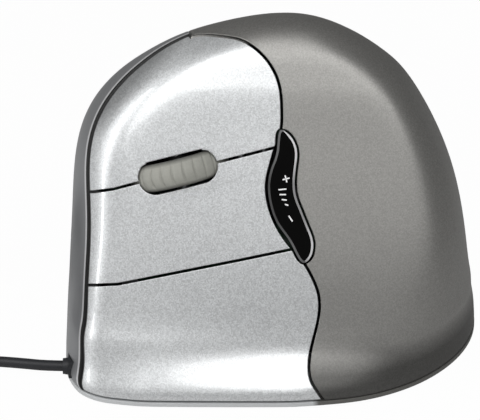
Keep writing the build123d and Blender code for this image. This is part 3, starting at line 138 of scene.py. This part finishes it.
class MouseCord(bpy.types.PropertyGroup):
    """The cord and its put-away coil."""

    diameter: length_property("Diameter", "Thickness of the jacket", 2.6 * MM)
    coil_radius: length_property("Coil radius", "Radius of the coil's outer turns", 21.0 * MM)
    coil_gap: length_property("Coil gap", "Space left between turns", 0.45 * MM)
    coil_y: length_property("Coil centre", "How far along the mouse the coil's centre lies",
                            103.0 * MM)
    desk_gap: length_property("Desk gap", "Space left above the desk", 0.02 * MM)


class MouseStage(bpy.types.PropertyGroup):
    """Camera, lamps and floor."""

    elevation: FloatProperty(name="Elevation", description="Angle of view above the desk",
                             default=radians(28), subtype="ANGLE")
    distance: length_property("Distance", "Distance from the camera to the mouse", 0.9)
    view_width: length_property("View width", "Width that the picture covers at that distance",
                                115.0 * MM)
    aim: FloatVectorProperty(name="Aim", description="Point that the camera looks at", size=3,
                             subtype="TRANSLATION", default=(-12 * MM, 7.7 * MM, 37.8 * MM))
    lamp_power: FloatProperty(name="Lamps", description="Power of the softbox above the camera",
                              default=1.04, unit="POWER")
    fill: share_property("Fill", "Light from all round", 0.18)
    backdrop: share_property("Backdrop", "Share of plain white seen on the floor", 0.98)
    gloss: share_property("Gloss", "Share of the white floor seen in gloss", 0.12)


# ------------------------------------------------------------ shader writing

BEVEL_SAMPLES = 6


class Wire:
    """The output socket of a node, so that shader maths reads as an expression."""

    def __init__(self, nodes, socket):
        self.nodes = nodes
        self.socket = socket

    def math(self, operation, *values):
        return self.nodes.add("ShaderNodeMath", {"operation": operation}, *values)

    def __add__(self, other):
        return self.math("ADD", self, other)

    def __radd__(self, other):
        return self.math("ADD", other, self)

    def __sub__(self, other):
        return self.math("SUBTRACT", self, other)

    def __rsub__(self, other):
        return self.math("SUBTRACT", other, self)

    def __mul__(self, other):
        return self.math("MULTIPLY", self, other)

    def __rmul__(self, other):
        return self.math("MULTIPLY", other, self)

    def __abs__(self):
        return self.math("ABSOLUTE", self)

    def clamped(self, low, high):
        """The share of the way from low to high, held within 0 and 1."""
        return self.nodes.add("ShaderNodeMapRange", {"clamp": True}, self, low, high, 0.0, 1.0)


class Nodes:
    """A node tree, written one node at a time."""

    def __init__(self, tree):
        self.tree = tree
        self.tree.nodes.clear()

    def plug(self, socket, value):
        """Links a wire to a socket, or sets the socket to a value. A colour gets its alpha."""
        if isinstance(value, Wire):
            self.tree.links.new(value.socket, socket)
        elif isinstance(value, (Color, tuple)) and len(socket.default_value) == len(value) + 1:
            socket.default_value = (*value, 1.0)
        else:
            socket.default_value = value

    def add(self, kind, settings, *values, out=0, numbered=None, **named):
        """Adds a node: its settings first, then the values or links of its sockets."""
        node = self.tree.nodes.new(kind)
        for key, value in settings.items():
            setattr(node, key, value)
        for index, value in enumerate(values):
            self.plug(node.inputs[index], value)
        for index, value in (numbered or {}).items():
            self.plug(node.inputs[index], value)
        for name, value in named.items():
            self.plug(node.inputs[name.replace("_", " ")], value)
        return Wire(self, node.outputs[out] if len(node.outputs) else None)

    def mix(self, share, first, second, blend="MIX"):
        """A colour part way between two others, or the two multiplied."""
        return self.add("ShaderNodeMix", {"data_type": "RGBA", "blend_type": blend}, share,
                        numbered={MIX_FIRST: first, MIX_SECOND: second}, out=MIX_RESULT)

    def ray(self, kind):
        """1 for light paths of the named kind and 0 for others."""
        return self.add("ShaderNodeLightPath", {}, out=f"Is {kind} Ray")


class Finish(Nodes):
    """One material and the nodes that make it."""

    def __init__(self, name):
        self.material = bpy.data.materials.new(name)
        self.material.use_nodes = True
        super().__init__(self.material.node_tree)
        self.output = self.tree.nodes.new("ShaderNodeOutputMaterial")
        self.shader = self.tree.nodes.new("ShaderNodeBsdfPrincipled")
        self.show(Wire(self, self.shader.outputs[0]))

    def show(self, surface):
        """Makes a shader the one that the material shows."""
        self.plug(self.output.inputs["Surface"], surface)

    def scaled(self, colour, amount):
        """A colour made lighter or darker by a varying amount."""
        grey = self.add("ShaderNodeCombineColor", {}, amount, amount, amount)
        return self.mix(1.0, colour, grey, blend="MULTIPLY")

    def set(self, **named):
        """Sets the shader's own sockets, given by name."""
        for name, value in named.items():
            self.plug(self.shader.inputs[name.replace("_", " ")], value)

    def place(self):
        """Where a point lies, in the object's own axes."""
        return self.add("ShaderNodeTexCoord", {}, out="Object")

    def facing(self):
        """The direction that the surface faces, in the object's own axes."""
        return self.add("ShaderNodeTexCoord", {}, out="Normal")

    def dot(self, first, second):
        """The dot product of two vectors."""
        return self.add("ShaderNodeVectorMath", {"operation": "DOT_PRODUCT"}, first, second,
                        out="Value")

    def coordinate(self, axis):
        """Where a point lies along X, Y or Z, in metres."""
        return self.add("ShaderNodeSeparateXYZ", {}, self.place(), out=axis)

    def noise(self, size, detail=2.0, stretch=None):
        """Soft noise with features of the given size, stretched along the axes if asked."""
        where = self.place()
        if stretch:
            where = self.add("ShaderNodeMapping", {}, where, (0, 0, 0), (0, 0, 0), stretch)
        return self.add("ShaderNodeTexNoise", {}, where, Scale=1 / size, Detail=detail, out="Fac")

    def flakes(self, size):
        """A random level for each cell of the given size, as metal flakes in paint have."""
        cells = self.add("ShaderNodeTexVoronoi", {}, self.place(), Scale=1 / size, out="Color")
        return self.add("ShaderNodeSeparateColor", {}, cells)

    def edge_normal(self, radius):
        """The surface's direction with its sharp edges rounded."""
        return self.add("ShaderNodeBevel", {"samples": BEVEL_SAMPLES}, radius)

    def past_parting(self):
        """Millimetres past the plane that parts the finger plates from the front strip."""
        return (self.dot(self.place(), PARTING_NORMAL) - PARTING_OFFSET) * (1 / MM)

    def bump(self, height, depth, radius):
        """Fine relief on top of rounded edges."""
        return self.add("ShaderNodeBump", {}, Strength=1.0, Distance=depth, Height=height,
                        Normal=self.edge_normal(radius))

    def grained(self, grain, colour, shade, rough, relief, **others):
        """Sets colour, roughness and relief, each a level with its share of one grain."""
        self.set(Base_Color=self.scaled(colour, shade[0] + grain * shade[1]),
                 Roughness=rough[0] + grain * rough[1],
                 Normal=self.bump(grain, *relief), **others)


# ------------------------------------------------------------------ finishes

FLAKE = 0.28 * MM
SEAM_SHADOW_BLACK = (0.012, 0.012, 0.012)
LIP_HIGHLIGHT_GREY = (0.72, 0.72, 0.73)

# Where a band fades in: its clear end and its full end.
# The painted seam shadows and the painted lip highlight are in millimetres past the parting plane.
PLATE_SEAM_SHADOW = (0.72, 0.5)
TRIM_LIP_HIGHLIGHT = (-1.6, -1.3)
TRIM_SEAM_SHADOW = (-0.95, -0.8)
# The painted shade on the top front corner goes by the product of how far the surface faces front and up.
TOP_CORNER_SHADE = (0.32, 0.42)
# The others are distances along an axis of the part, or across the wheel.
# Painted shade darkens the shell below this band, towards the desk.
ABOVE_FOOT_SHADE = (7 * MM, 13 * MM)
# The rocker's painted edge highlight grows towards its top and its lower end over these heights.
ROCKER_TOP = (50 * MM, 56 * MM)
ROCKER_FOOT = (42 * MM, 36 * MM)
SILVER_RIM = (-11 * MM, -9.5 * MM)
# The tyre is painted darker, as shade, from 2.3 mm to 3.2 mm out from its middle.
TYRE_SIDE_SHADE = (3.2 * MM, 2.3 * MM)
# The rocker's painted edge highlight goes by how far the surface turns from the face, and its palm side by its Y.
ROCKER_BEVEL = (0.06, 0.2)
PALM_SIDE = (-0.2, -0.65)


def silver_paint(finish, colours):
    """Lacquered silver paint with fine flakes, with painted shadow along the front parting line and painted shade
    on the top front edge, where the surface faces front and up.
    """
    flakes = finish.flakes(FLAKE)
    grain = finish.noise(0.3 * MM)
    cloud = finish.noise(9 * MM)
    facing = finish.facing()
    frontward = finish.dot(facing, (0.0, 1.0, 0.0))
    upward = finish.dot(facing, (0.0, 0.0, 1.0))
    # Painted shade: the plates darken where they face both front and up.
    corner_shade = (frontward * upward).clamped(*TOP_CORNER_SHADE)
    level = (0.76 + flakes * 0.32 + grain * 0.10 + cloud * 0.06) * (1 - corner_shade * 0.45)
    # Painted shadow: the plates go dark near the parting plane, over their cut edge and onto the face beside it.
    seam_shadow = finish.past_parting().clamped(*PLATE_SEAM_SHADOW)
    paint = finish.scaled(colours.silver, level)
    finish.set(Base_Color=finish.mix(seam_shadow, paint, (0.02, 0.02, 0.02)),
               Metallic=0.6, Roughness=0.33 + grain * 0.08 + flakes * 0.08,
               Coat_Weight=0.9, Coat_Roughness=0.08,
               Normal=finish.bump(grain * 0.5 + flakes * 0.5, 0.012 * MM, 0.35 * MM))


def shell_coating(finish, colours):
    """Soft satin coating with very fine metallic grain, and painted shade darkening it towards the desk below 13
    mm.
    """
    flakes = finish.flakes(FLAKE)
    grain = finish.noise(0.25 * MM)
    cloud = finish.noise(14 * MM)
    # Painted shade: the coating darkens towards the desk.
    clear_of_foot_shade = finish.coordinate("Z").clamped(*ABOVE_FOOT_SHADE)
    level = (0.80 + flakes * 0.22 + grain * 0.16 + cloud * 0.08) * (0.36 + clear_of_foot_shade * 0.64)
    finish.set(Base_Color=finish.scaled(colours.shell, level), Metallic=0.9,
               Roughness=0.50 + grain * 0.06, Specular_IOR_Level=0.35,
               Normal=finish.bump(grain * 0.5 + flakes * 0.5, 0.008 * MM, 0.3 * MM))


def trim_plastic(finish, colours):
    """Satin grey plastic with a painted pale highlight along its edge by the parting line, beside a dark band
    there that is its cut edge and painted shadow.
    """
    grain = finish.noise(0.3 * MM)
    level = 0.92 + grain * 0.12
    past = finish.past_parting()
    # Painted highlight: a pale line on the strip just short of the parting plane.
    lip_highlight = past.clamped(*TRIM_LIP_HIGHLIGHT)
    # Painted shadow: the strip goes dark near the parting plane, over its cut edge and onto the face beside it.
    seam_shadow = past.clamped(*TRIM_SEAM_SHADOW)
    body = finish.mix(lip_highlight, finish.scaled(colours.trim, level), LIP_HIGHLIGHT_GREY)
    finish.set(Base_Color=finish.mix(seam_shadow, body, SEAM_SHADOW_BLACK), Metallic=0.55,
               Roughness=0.30 + grain * 0.1, Normal=finish.bump(grain, 0.004 * MM, 0.3 * MM))


def gloss_black(finish, colours):
    """Polished black plastic, very slightly smeared."""
    smear = finish.noise(6 * MM)
    finish.set(Base_Color=finish.scaled(colours.black, 0.8 + smear * 0.4),
               Roughness=0.06 + smear * 0.05, Specular_IOR_Level=0.3,
               Normal=finish.edge_normal(0.15 * MM))


def rocker_gloss(finish, colours):
    """Polished black plastic whose bevelled edge carries a painted pale highlight, brightest towards the palm side
    and the ends.
    """
    smear = finish.noise(6 * MM)
    facing = finish.facing()
    bevel = (1 - finish.dot(facing, FACE_OUT)).clamped(*ROCKER_BEVEL)
    palm = finish.add("ShaderNodeSeparateXYZ", {}, facing, out="Y").clamped(*PALM_SIDE)
    height = finish.coordinate("Z")
    ends = height.clamped(*ROCKER_TOP) + height.clamped(*ROCKER_FOOT)
    # Painted highlight: the bevel is made pale, most of all towards the palm and at the rocker's ends.
    painted_edge_highlight = bevel * (0.08 + ends * 0.08 + palm * (0.35 + ends * 0.55))
    finish.set(Base_Color=finish.mix(painted_edge_highlight, colours.black, (0.8, 0.8, 0.81)),
               Roughness=0.06 + smear * 0.05, Specular_IOR_Level=0.15)


def base_plastic(finish, colours):
    """Grey plastic of the base, whose rim is silver below the plates."""
    front = finish.coordinate("Y").clamped(*SILVER_RIM)
    colour = finish.mix(front, colours.base, colours.silver)
    finish.grained(finish.noise(0.4 * MM, 4.0), colour, shade=(0.9, 0.2), rough=(0.42, 0.15),
                   relief=(0.01 * MM, 0.2 * MM), Metallic=0.4)


def glide_plastic(finish, colours):
    """Slippery white plastic, lightly scuffed along its travel."""
    scuffs = finish.noise(0.5 * MM, 3.0, stretch=(1.0, 0.06, 1.0))
    finish.grained(scuffs, (0.72, 0.72, 0.69), shade=(0.8, 0.4), rough=(0.3, 0.2),
                   relief=(0.004 * MM, 0.2 * MM))


def tyre_rubber(finish, colours):
    """Soft grey rubber with a dusty grain, and painted shade darkening it towards its two sides."""
    grain = finish.noise(0.25 * MM, 3.0)
    streak = finish.noise(1.2 * MM)
    axle, centre = wheel_axle()
    across = finish.dot(finish.place(), tuple(axle)) - axle.dot(centre)
    # Painted shade: the tyre darkens towards its two sides, where its surface falls away.
    clear_of_side_shade = abs(across).clamped(*TYRE_SIDE_SHADE)
    level = (0.84 + grain * 0.16 + streak * 0.16) * (0.35 + clear_of_side_shade * 0.65)
    finish.set(Base_Color=finish.scaled(colours.tyre, level),
               Roughness=0.6 + grain * 0.15, Specular_IOR_Level=0.3,
               Normal=finish.bump(grain, 0.012 * MM, 0.1 * MM))


def frame_plastic(finish, colours):
    """Black moulded plastic of the chassis."""
    finish.grained(finish.noise(0.5 * MM, 3.0), (0.02, 0.02, 0.021), shade=(0.8, 0.4),
                   rough=(0.45, 0.2), relief=(0.01 * MM, 0.15 * MM))


def turned_steel(finish, colours):
    """Plain steel with fine turning marks."""
    marks = finish.noise(0.12 * MM, stretch=(1.0, 1.0, 8.0))
    finish.grained(marks, (0.52, 0.52, 0.53), shade=(0.85, 0.3), rough=(0.22, 0.2),
                   relief=(0.003 * MM, 0.1 * MM), Metallic=1.0)


def plated_steel(finish, colours):
    """Bright plated sheet of the plug."""
    marks = finish.noise(0.3 * MM, stretch=(1.0, 0.1, 1.0))
    finish.grained(marks, (0.72, 0.72, 0.74), shade=(0.9, 0.2), rough=(0.12, 0.12),
                   relief=(0.002 * MM, 0.12 * MM), Metallic=1.0)


def board_lacquer(finish, colours):
    """Green lacquer over a woven board, with paler tracks."""
    where = finish.place()
    weave = finish.add("ShaderNodeTexWave", {"bands_direction": "Y"}, where, Scale=400.0,
                       Distortion=1.0, out="Fac")
    edges = finish.add("ShaderNodeTexVoronoi", {"feature": "DISTANCE_TO_EDGE"}, where, Scale=260.0)
    track = edges.clamped(0.09, 0.05)
    finish.set(Base_Color=finish.mix(track, colours.board, (0.012, 0.06, 0.026)),
               Roughness=0.28 + weave * 0.1, Normal=finish.bump(weave, 0.004 * MM, 0.1 * MM))


def switch_plastic(finish, colours):
    """Dark moulded switch body."""
    finish.grained(finish.noise(0.3 * MM), (0.018, 0.018, 0.02), shade=(0.8, 0.4),
                   rough=(0.38, 0.1), relief=(0.006 * MM, 0.2 * MM))


def plunger_plastic(finish, colours):
    """Milky white moulded plastic."""
    finish.grained(finish.noise(0.6 * MM), (0.76, 0.75, 0.71), shade=(0.93, 0.1),
                   rough=(0.36, 0.1), relief=(0.004 * MM, 0.2 * MM))


def chip_epoxy(finish, colours):
    """Matt black epoxy of a chip."""
    finish.grained(finish.noise(0.2 * MM, 3.0), (0.012, 0.012, 0.012), shade=(0.8, 0.6),
                   rough=(0.55, 0.15), relief=(0.006 * MM, 0.1 * MM))


def clear_plastic(finish, colours):
    """Clear moulded plastic of the light pipe, the lens and the lamp."""
    haze = finish.noise(2 * MM)
    finish.set(Base_Color=finish.scaled((0.86, 0.88, 0.88), 0.95 + haze * 0.08),
               Roughness=0.08 + haze * 0.1, Alpha=0.55, Specular_IOR_Level=0.6,
               Normal=finish.edge_normal(0.12 * MM))


def cord_jacket(finish, colours):
    """Matt black jacket with a faint extrusion grain."""
    finish.grained(finish.noise(0.2 * MM), colours.cord, shade=(0.8, 0.4), rough=(0.42, 0.15),
                   relief=(0.006 * MM, 0.15 * MM), Specular_IOR_Level=0.4)


def ribbon_film(finish, colours):
    """Pale ribbon with its printed conductors."""
    lines = finish.add("ShaderNodeTexWave", {"bands_direction": "Y"}, finish.place(), Scale=320.0,
                       out="Fac")
    finish.set(Base_Color=finish.mix(lines, (0.62, 0.62, 0.57), (0.36, 0.36, 0.34)),
               Roughness=0.35 + lines * 0.1, Normal=finish.bump(lines, 0.01 * MM, 0.05 * MM))


def mark_print(finish, colours):
    """White pad print, a little uneven."""
    grain = finish.noise(0.15 * MM)
    finish.set(Base_Color=finish.scaled(colours.mark, 0.88 + grain * 0.2),
               Roughness=0.5 + grain * 0.1)


FINISHES = {
    "silver_paint": silver_paint,
    "shell_grey": shell_coating,
    "trim_grey": trim_plastic,
    "gloss_black": gloss_black,
    "base_grey": base_plastic,
    "rocker_black": rocker_gloss,
    "glide_white": glide_plastic,
    "tyre_rubber": tyre_rubber,
    "frame_black": frame_plastic,
    "steel": turned_steel,
    "plated_steel": plated_steel,
    "board_green": board_lacquer,
    "switch_black": switch_plastic,
    "plunger_white": plunger_plastic,
    "chip_black": chip_epoxy,
    "clear": clear_plastic,
    "cord_black": cord_jacket,
    "ribbon_white": ribbon_film,
    "mark_white": mark_print,
}


def material(name):
    """The finish of that name, made the first time it is asked for."""
    full_name = "finish_" + name
    if full_name not in bpy.data.materials:
        FINISHES[name](Finish(full_name), bpy.context.scene.mouse_colours)
    return bpy.data.materials[full_name]


def dress(piece, name):
    """Gives a piece one finish in place of whatever it had."""
    piece.data.materials.clear()
    piece.data.materials.append(material(name))


def add_mesh(name, points, faces, smooth=True):
    """Adds a mesh piece to the scene."""
    mesh = bpy.data.meshes.new(name)
    mesh.from_pydata([tuple(point) for point in points], [], faces)
    mesh.update()
    if smooth:
        mesh.shade_smooth()
    else:
        mesh.shade_flat()
    piece = bpy.data.objects.new(name, mesh)
    bpy.context.scene.collection.objects.link(piece)
    return piece


# ----------------------------------------------------------------- operators

class MOUSE_OT_finishes(bpy.types.Operator):
    """Give every CAD piece the finish of its material slot"""

    bl_idname = "mouse.finishes"
    bl_label = "Finishes"

    def execute(self, context):
        for entry in frame["record"]["subparts"]:
            dress(NODES[entry["node"]], entry["material_slot"])
        dress(NODES["speed_rocker"], "rocker_black")
        return {"FINISHED"}


# Where a rib starts to fall and where its groove is deepest, in shares of a rib,
# and how far the fall goes before the groove, in shares of the groove's depth
RIB_FALL, RIB_GROOVE = 0.35, 0.86
FALL_DEPTH = 0.35


def tread_drop(phase):
    """Depth of the tread within one rib, as a share of the groove's depth."""
    share = phase % 1.0
    groove = max(0.0, 1 - abs(share - RIB_GROOVE) / (1 - RIB_GROOVE))
    fall = max(0.0, (share - RIB_FALL) / (1 - RIB_FALL)) if share < RIB_GROOVE else 0.0
    return max(FALL_DEPTH * fall ** 2, groove * groove * (3 - 2 * groove))


class MOUSE_OT_tyre(bpy.types.Operator):
    """Build the wheel's tyre with its bowed ribs"""

    bl_idname = "mouse.tyre"
    bl_label = "Tyre"

    STEPS_PER_RIB = 14
    TREAD_ROWS = 24

    def execute(self, context):
        tyre = context.scene.mouse_tyre
        axle, centre = wheel_axle()
        outward = Vector((-1, 0, 0))
        across = axle.cross(outward).normalized()
        lift = across.cross(axle).normalized()
        place = Matrix((across, lift, axle)).transposed().to_4x4()
        place.translation = centre
        half = tyre.width / 2
        # Radius and place across the wheel, so that the tyre shows as a round-ended slot
        section = [(tyre.bore, -half)]
        for row in range(self.TREAD_ROWS + 1):
            turn = pi * (row / self.TREAD_ROWS - 0.5)
            reach = tyre.length / 2 - half + cos(turn) * half
            section.append((hypot(tyre.rise, reach), sin(turn) * half))
        section.append((tyre.bore, half))
        around = tyre.ribs * self.STEPS_PER_RIB
        points = []
        for step in range(around):
            turn = 2 * pi * step / around
            for radius, width in section:
                share = width / half
                fade = 1 - abs(share) ** 3 if radius > tyre.bore else 0.0
                phase = step / self.STEPS_PER_RIB + tyre.bow * share ** 2
                reach = radius - tyre.rib_depth * tread_drop(phase) * fade
                points.append(place @ Vector((reach * cos(turn), reach * sin(turn), width)))
        rows = len(section)
        faces = []
        for step in range(around):
            following = (step + 1) % around
            for row in range(rows):
                beside = (row + 1) % rows
                faces.append((step * rows + row, following * rows + row,
                              following * rows + beside, step * rows + beside))
        piece = add_mesh("tyre", points, faces)
        dress(piece, "tyre_rubber")
        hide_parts("wheel_tyre")
        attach(piece, "wheel")
        return {"FINISHED"}


def view_axes(stage):
    """The camera's right, up and back directions for the photograph's view."""
    back = Vector((-cos(stage.elevation), 0, sin(stage.elevation)))
    right = Vector((0, -1, 0))
    return right, back.cross(right), back


def photo_hit(piece, pixel):
    """Where the sight line of a pixel meets a piece, and the direction that it faces there."""
    stage = bpy.context.scene.mouse_stage
    right, up, back = view_axes(stage)
    eye = Vector(stage.aim) + back * stage.distance
    per_pixel = stage.view_width / PHOTO_SIZE[0]
    aim = Vector(stage.aim) + right * (pixel[0] - PHOTO_SIZE[0] / 2) * per_pixel
    aim += up * (PHOTO_SIZE[1] / 2 - pixel[1]) * per_pixel
    found, spot, normal, _ = piece.ray_cast(eye, (aim - eye).normalized())
    if not found:
        raise RuntimeError(f"the sight line of pixel {pixel} misses {piece.name}")
    return spot, normal.normalized()


class MOUSE_OT_marks(bpy.types.Operator):
    """Print plus, minus and a row of speed bars on the rocker"""

    bl_idname = "mouse.marks"
    bl_label = "Speed marks"

    # Pixel of the photograph's frame, the stroke's direction there, and its length over the size
    STROKES = (
        ((286.0, 178.9), (1.0, 0.25), 1.0),
        ((286.0, 178.9), (-0.25, 1.0), 1.0),
        ((282.4, 189.4), (1.0, 0.10), 1.10),
        ((282.8, 194.6), (1.0, 0.00), 0.90),
        ((284.2, 199.8), (1.0, -0.12), 0.70),
        ((286.6, 204.8), (1.0, -0.26), 0.50),
        ((290.6, 218.6), (0.55, -0.83), 0.95),
    )

    CORNERS = ((-1, -1), (1, -1), (1, 1), (-1, 1))
    FACES = ((3, 2, 1, 0), (4, 5, 6, 7), (0, 1, 5, 4), (1, 2, 6, 5), (2, 3, 7, 6), (3, 0, 4, 7))

    def execute(self, context):
        marks = context.scene.mouse_marks
        rocker = NODES["speed_rocker"]
        right, up, _ = view_axes(context.scene.mouse_stage)
        for number, (pixel, direction, share) in enumerate(self.STROKES, 1):
            spot, normal = photo_hit(rocker, pixel)
            along = right * direction[0] + up * direction[1]
            along = (along - normal * along.dot(normal)).normalized()
            beside = normal.cross(along)
            half_length = marks.size * share / 2
            half_width = marks.stroke / 2
            points = [spot + along * x * half_length + beside * y * half_width + normal * level
                      for level in (-marks.thickness, marks.thickness)
                      for x, y in self.CORNERS]
            piece = add_mesh(f"speed_mark_{number}", points, self.FACES, smooth=False)
            dress(piece, "mark_white")
            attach(piece, "speed_rocker")
        return {"FINISHED"}


class MOUSE_OT_cord(bpy.types.Operator):
    """Lay the cord out of its relief and wind its spare length into a coil"""

    bl_idname = "mouse.cord"
    bl_label = "Cord"

    # Millimetres, from inside the strain relief down to the desk
    RUN = ((-27.97, 42.7, 3.86), (-27.97, 53.5, 3.86), (-25.0, 60.5, 2.95), (-21.6, 68.5, 1.6))
    # Where the run lies straight, in line with the coil's outer turn
    STRAIGHT_Y = 81.0 * MM
    # The tail's way up to the plug: where it leaves the turns, its bend, and where it turns
    # to the plug, measured from the coil's centre and, for the bend, its top layer
    TAIL_LEAVES_X = 12.5 * MM
    TAIL_BEND = (18.6 * MM, 17.6 * MM, 2.6 * MM)
    TAIL_TURNS_Y = 11.0 * MM
    LAYERS = 4
    HALF_TURNS_IN = 7
    POINTS_PER_HALF_TURN = 9
    BEVEL_STEPS = 4
    CURVE_STEPS = 6

    def coil(self, cord, low):
        """Points of the turns: in and out by half turns, climbing one layer at each end."""
        pitch = cord.diameter + cord.coil_gap
        step_in = pitch / 2
        x, z, side = -cord.coil_radius, low, 1
        points = []

        def half_turn(radius, climb, share=1.0):
            nonlocal x, z, side
            count = self.POINTS_PER_HALF_TURN
            for index in range(int(count * share)):
                turn = (index + 0.5) * pi / count
                height = z + climb * (index + 0.5) / count
                points.append((x + side * radius * (1 - cos(turn)),
                               cord.coil_y + side * radius * sin(turn), height))
            x += side * 2 * radius
            z += climb
            side = -side

        for layer in range(self.LAYERS):
            inward = layer % 2 == 0
            last = layer == self.LAYERS - 1
            turns = self.HALF_TURNS_IN
            for step in range(turns) if inward else range(turns - 1, 0 if last else -1, -1):
                half_turn(cord.coil_radius - step * step_in, 0)
            if not last:
                half_turn(cord.coil_radius + (-turns * step_in if inward else step_in), pitch)
        half_turn(cord.coil_radius, 0, 0.5)
        return points, pitch, z

    def execute(self, context):
        cord = context.scene.mouse_cord
        low = cord.diameter / 2 + cord.desk_gap
        turns, pitch, high = self.coil(cord, low)
        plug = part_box("plug_body")
        plug_z = (plug[0].z + plug[1].z) / 2
        plug_back = plug[1].y
        run = [tuple(value * MM for value in point) for point in self.RUN]
        run.append((-cord.coil_radius, self.STRAIGHT_Y, low))
        run.append((-cord.coil_radius, cord.coil_y - cord.diameter, low))
        bend_x, bend_y, bend_z = self.TAIL_BEND
        tail = [
            (pitch + cord.diameter, cord.coil_y + cord.coil_radius, high),
            (self.TAIL_LEAVES_X, cord.coil_y + cord.coil_radius, high),
            (bend_x, cord.coil_y + bend_y, high + bend_z),
            (cord.coil_radius, cord.coil_y + self.TAIL_TURNS_Y, plug_z),
            (cord.coil_radius, plug_back, plug_z),
        ]
        curve = bpy.data.curves.new("cord", "CURVE")
        curve.dimensions = "3D"
        curve.bevel_depth = cord.diameter / 2
        curve.bevel_resolution = self.BEVEL_STEPS
        curve.resolution_u = self.CURVE_STEPS
        curve.use_fill_caps = True
        route = [*run, *turns, *tail]
        spline = curve.splines.new("NURBS")
        spline.points.add(len(route) - 1)
        for point, place in zip(spline.points, route):
            point.co = (*place, 1.0)
        spline.order_u = 3
        spline.use_endpoint_u = True
        piece = bpy.data.objects.new("cord", curve)
        context.scene.collection.objects.link(piece)
        dress(piece, "cord_black")
        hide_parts("cord_run", "cord_coil", "cord_tail")
        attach(piece, "case")
        return {"FINISHED"}


def add_lamp(name, place, target, size, power):
    """Hangs a rectangular lamp that shines at a target."""
    light = bpy.data.lights.new(name, "AREA")
    light.shape = "RECTANGLE"
    light.size, light.size_y = size
    light.energy = power
    lamp = bpy.data.objects.new(name, light)
    lamp.location = place
    lamp.rotation_euler = (target - place).to_track_quat("-Z", "Y").to_euler()
    bpy.context.scene.collection.objects.link(lamp)


class MOUSE_OT_stage(bpy.types.Operator):
    """Set the floor, the world, the lamps and the camera"""

    bl_idname = "mouse.stage"
    bl_label = "Stage"

    FLOOR_REACH = 2.0
    LAMP_TARGET = (0.0, 0.0, 0.04)
    # Turn from the camera's side towards the cord, rise, distance, size and share of the power
    LAMPS = (
        (0.0, radians(46), 0.34, (0.50, 0.22), 1.0),
        (radians(74), radians(24), 0.34, (0.03, 0.30), 0.4),
    )
    SENSOR_MM = 36.0
    NEAREST, FARTHEST = 0.05, 20.0

    def add_floor(self, stage):
        """The floor: plain white to the eye, and pale grey to the light and the shadow."""
        far = self.FLOOR_REACH
        corners = [(-far, -far, 0), (far, -far, 0), (far, far, 0), (-far, far, 0)]
        floor = add_mesh("floor", corners, [(0, 1, 2, 3)], smooth=False)
        finish = Finish("floor_white")
        grain = finish.noise(30 * MM)
        finish.set(Base_Color=finish.scaled((0.6, 0.6, 0.6), 0.98 + grain * 0.02), Roughness=0.9)
        bare = Wire(finish, finish.shader.outputs[0])
        seen = finish.ray("Camera") + finish.ray("Transmission")
        seen = seen + finish.ray("Glossy") * stage.gloss
        white = finish.add("ShaderNodeEmission", {}, (1.0, 1.0, 1.0), 1.0)
        finish.show(finish.add("ShaderNodeMixShader", {}, seen * stage.backdrop, bare, white))
        floor.data.materials.append(finish.material)

    def add_world(self, scene, stage):
        """Even light from all round, seen as plain white."""
        world = bpy.data.worlds.new("studio")
        world.use_nodes = True
        nodes = Nodes(world.node_tree)
        seen = nodes.ray("Camera") + nodes.ray("Transmission")
        strength = stage.fill + seen * (1 - stage.fill)
        sky = nodes.add("ShaderNodeBackground", {}, (1.0, 1.0, 1.0), strength)
        nodes.add("ShaderNodeOutputWorld", {}, sky)
        scene.world = world

    def add_camera(self, scene, stage):
        """The camera of the photograph's view."""
        right, up, back = view_axes(stage)
        lens = bpy.data.cameras.new("camera")
        lens.sensor_width = self.SENSOR_MM
        lens.lens = lens.sensor_width * stage.distance / stage.view_width
        lens.clip_start, lens.clip_end = self.NEAREST, self.FARTHEST
        camera = bpy.data.objects.new("camera", lens)
        camera.matrix_world = Matrix((right, up, back)).transposed().to_4x4()
        camera.location = Vector(stage.aim) + back * stage.distance
        scene.collection.objects.link(camera)
        scene.camera = camera

    def execute(self, context):
        scene = context.scene
        stage = scene.mouse_stage
        scene.view_settings.view_transform = "Standard"
        self.add_floor(stage)
        self.add_world(scene, stage)
        target = Vector(self.LAMP_TARGET)
        for number, (turn, rise, distance, size, share) in enumerate(self.LAMPS, 1):
            aside = Vector((-cos(turn) * cos(rise), sin(turn) * cos(rise), sin(rise)))
            add_lamp(f"softbox_{number}", aside * distance + target, target, size,
                     stage.lamp_power * share)
        self.add_camera(scene, stage)
        return {"FINISHED"}


class MOUSE_PT_panel(bpy.types.Panel):
    """Lists the steps that dress the mouse"""

    bl_idname = "MOUSE_PT_panel"
    bl_label = "Upright mouse"
    bl_space_type = "VIEW_3D"
    bl_region_type = "UI"
    bl_category = "Mouse"

    def draw(self, context):
        for operator, settings in STEPS:
            self.layout.operator(operator.bl_idname)
            group = getattr(context.scene, settings)
            for name in group.bl_rna.properties.keys():
                if name not in ("rna_type", "name"):
                    self.layout.prop(group, name)


STEPS = (
    (MOUSE_OT_finishes, "mouse_colours"),
    (MOUSE_OT_tyre, "mouse_tyre"),
    (MOUSE_OT_marks, "mouse_marks"),
    (MOUSE_OT_cord, "mouse_cord"),
    (MOUSE_OT_stage, "mouse_stage"),
)
SETTINGS = {
    "mouse_colours": MouseColours,
    "mouse_tyre": MouseTyre,
    "mouse_marks": MouseMarks,
    "mouse_cord": MouseCord,
    "mouse_stage": MouseStage,
}
CLASSES = (*SETTINGS.values(), *(operator for operator, _ in STEPS), MOUSE_PT_panel)


def register():
    for item in CLASSES:
        bpy.utils.register_class(item)
    for name, group in SETTINGS.items():
        setattr(bpy.types.Scene, name, PointerProperty(type=group))


def unregister():
    for name in SETTINGS:
        delattr(bpy.types.Scene, name)
    for item in reversed(CLASSES):
        bpy.utils.unregister_class(item)


def main():
    register()
    for operator, _ in STEPS:
        getattr(bpy.ops.mouse, operator.bl_idname.split(".")[1])()


if __name__ == "__main__":
    main()
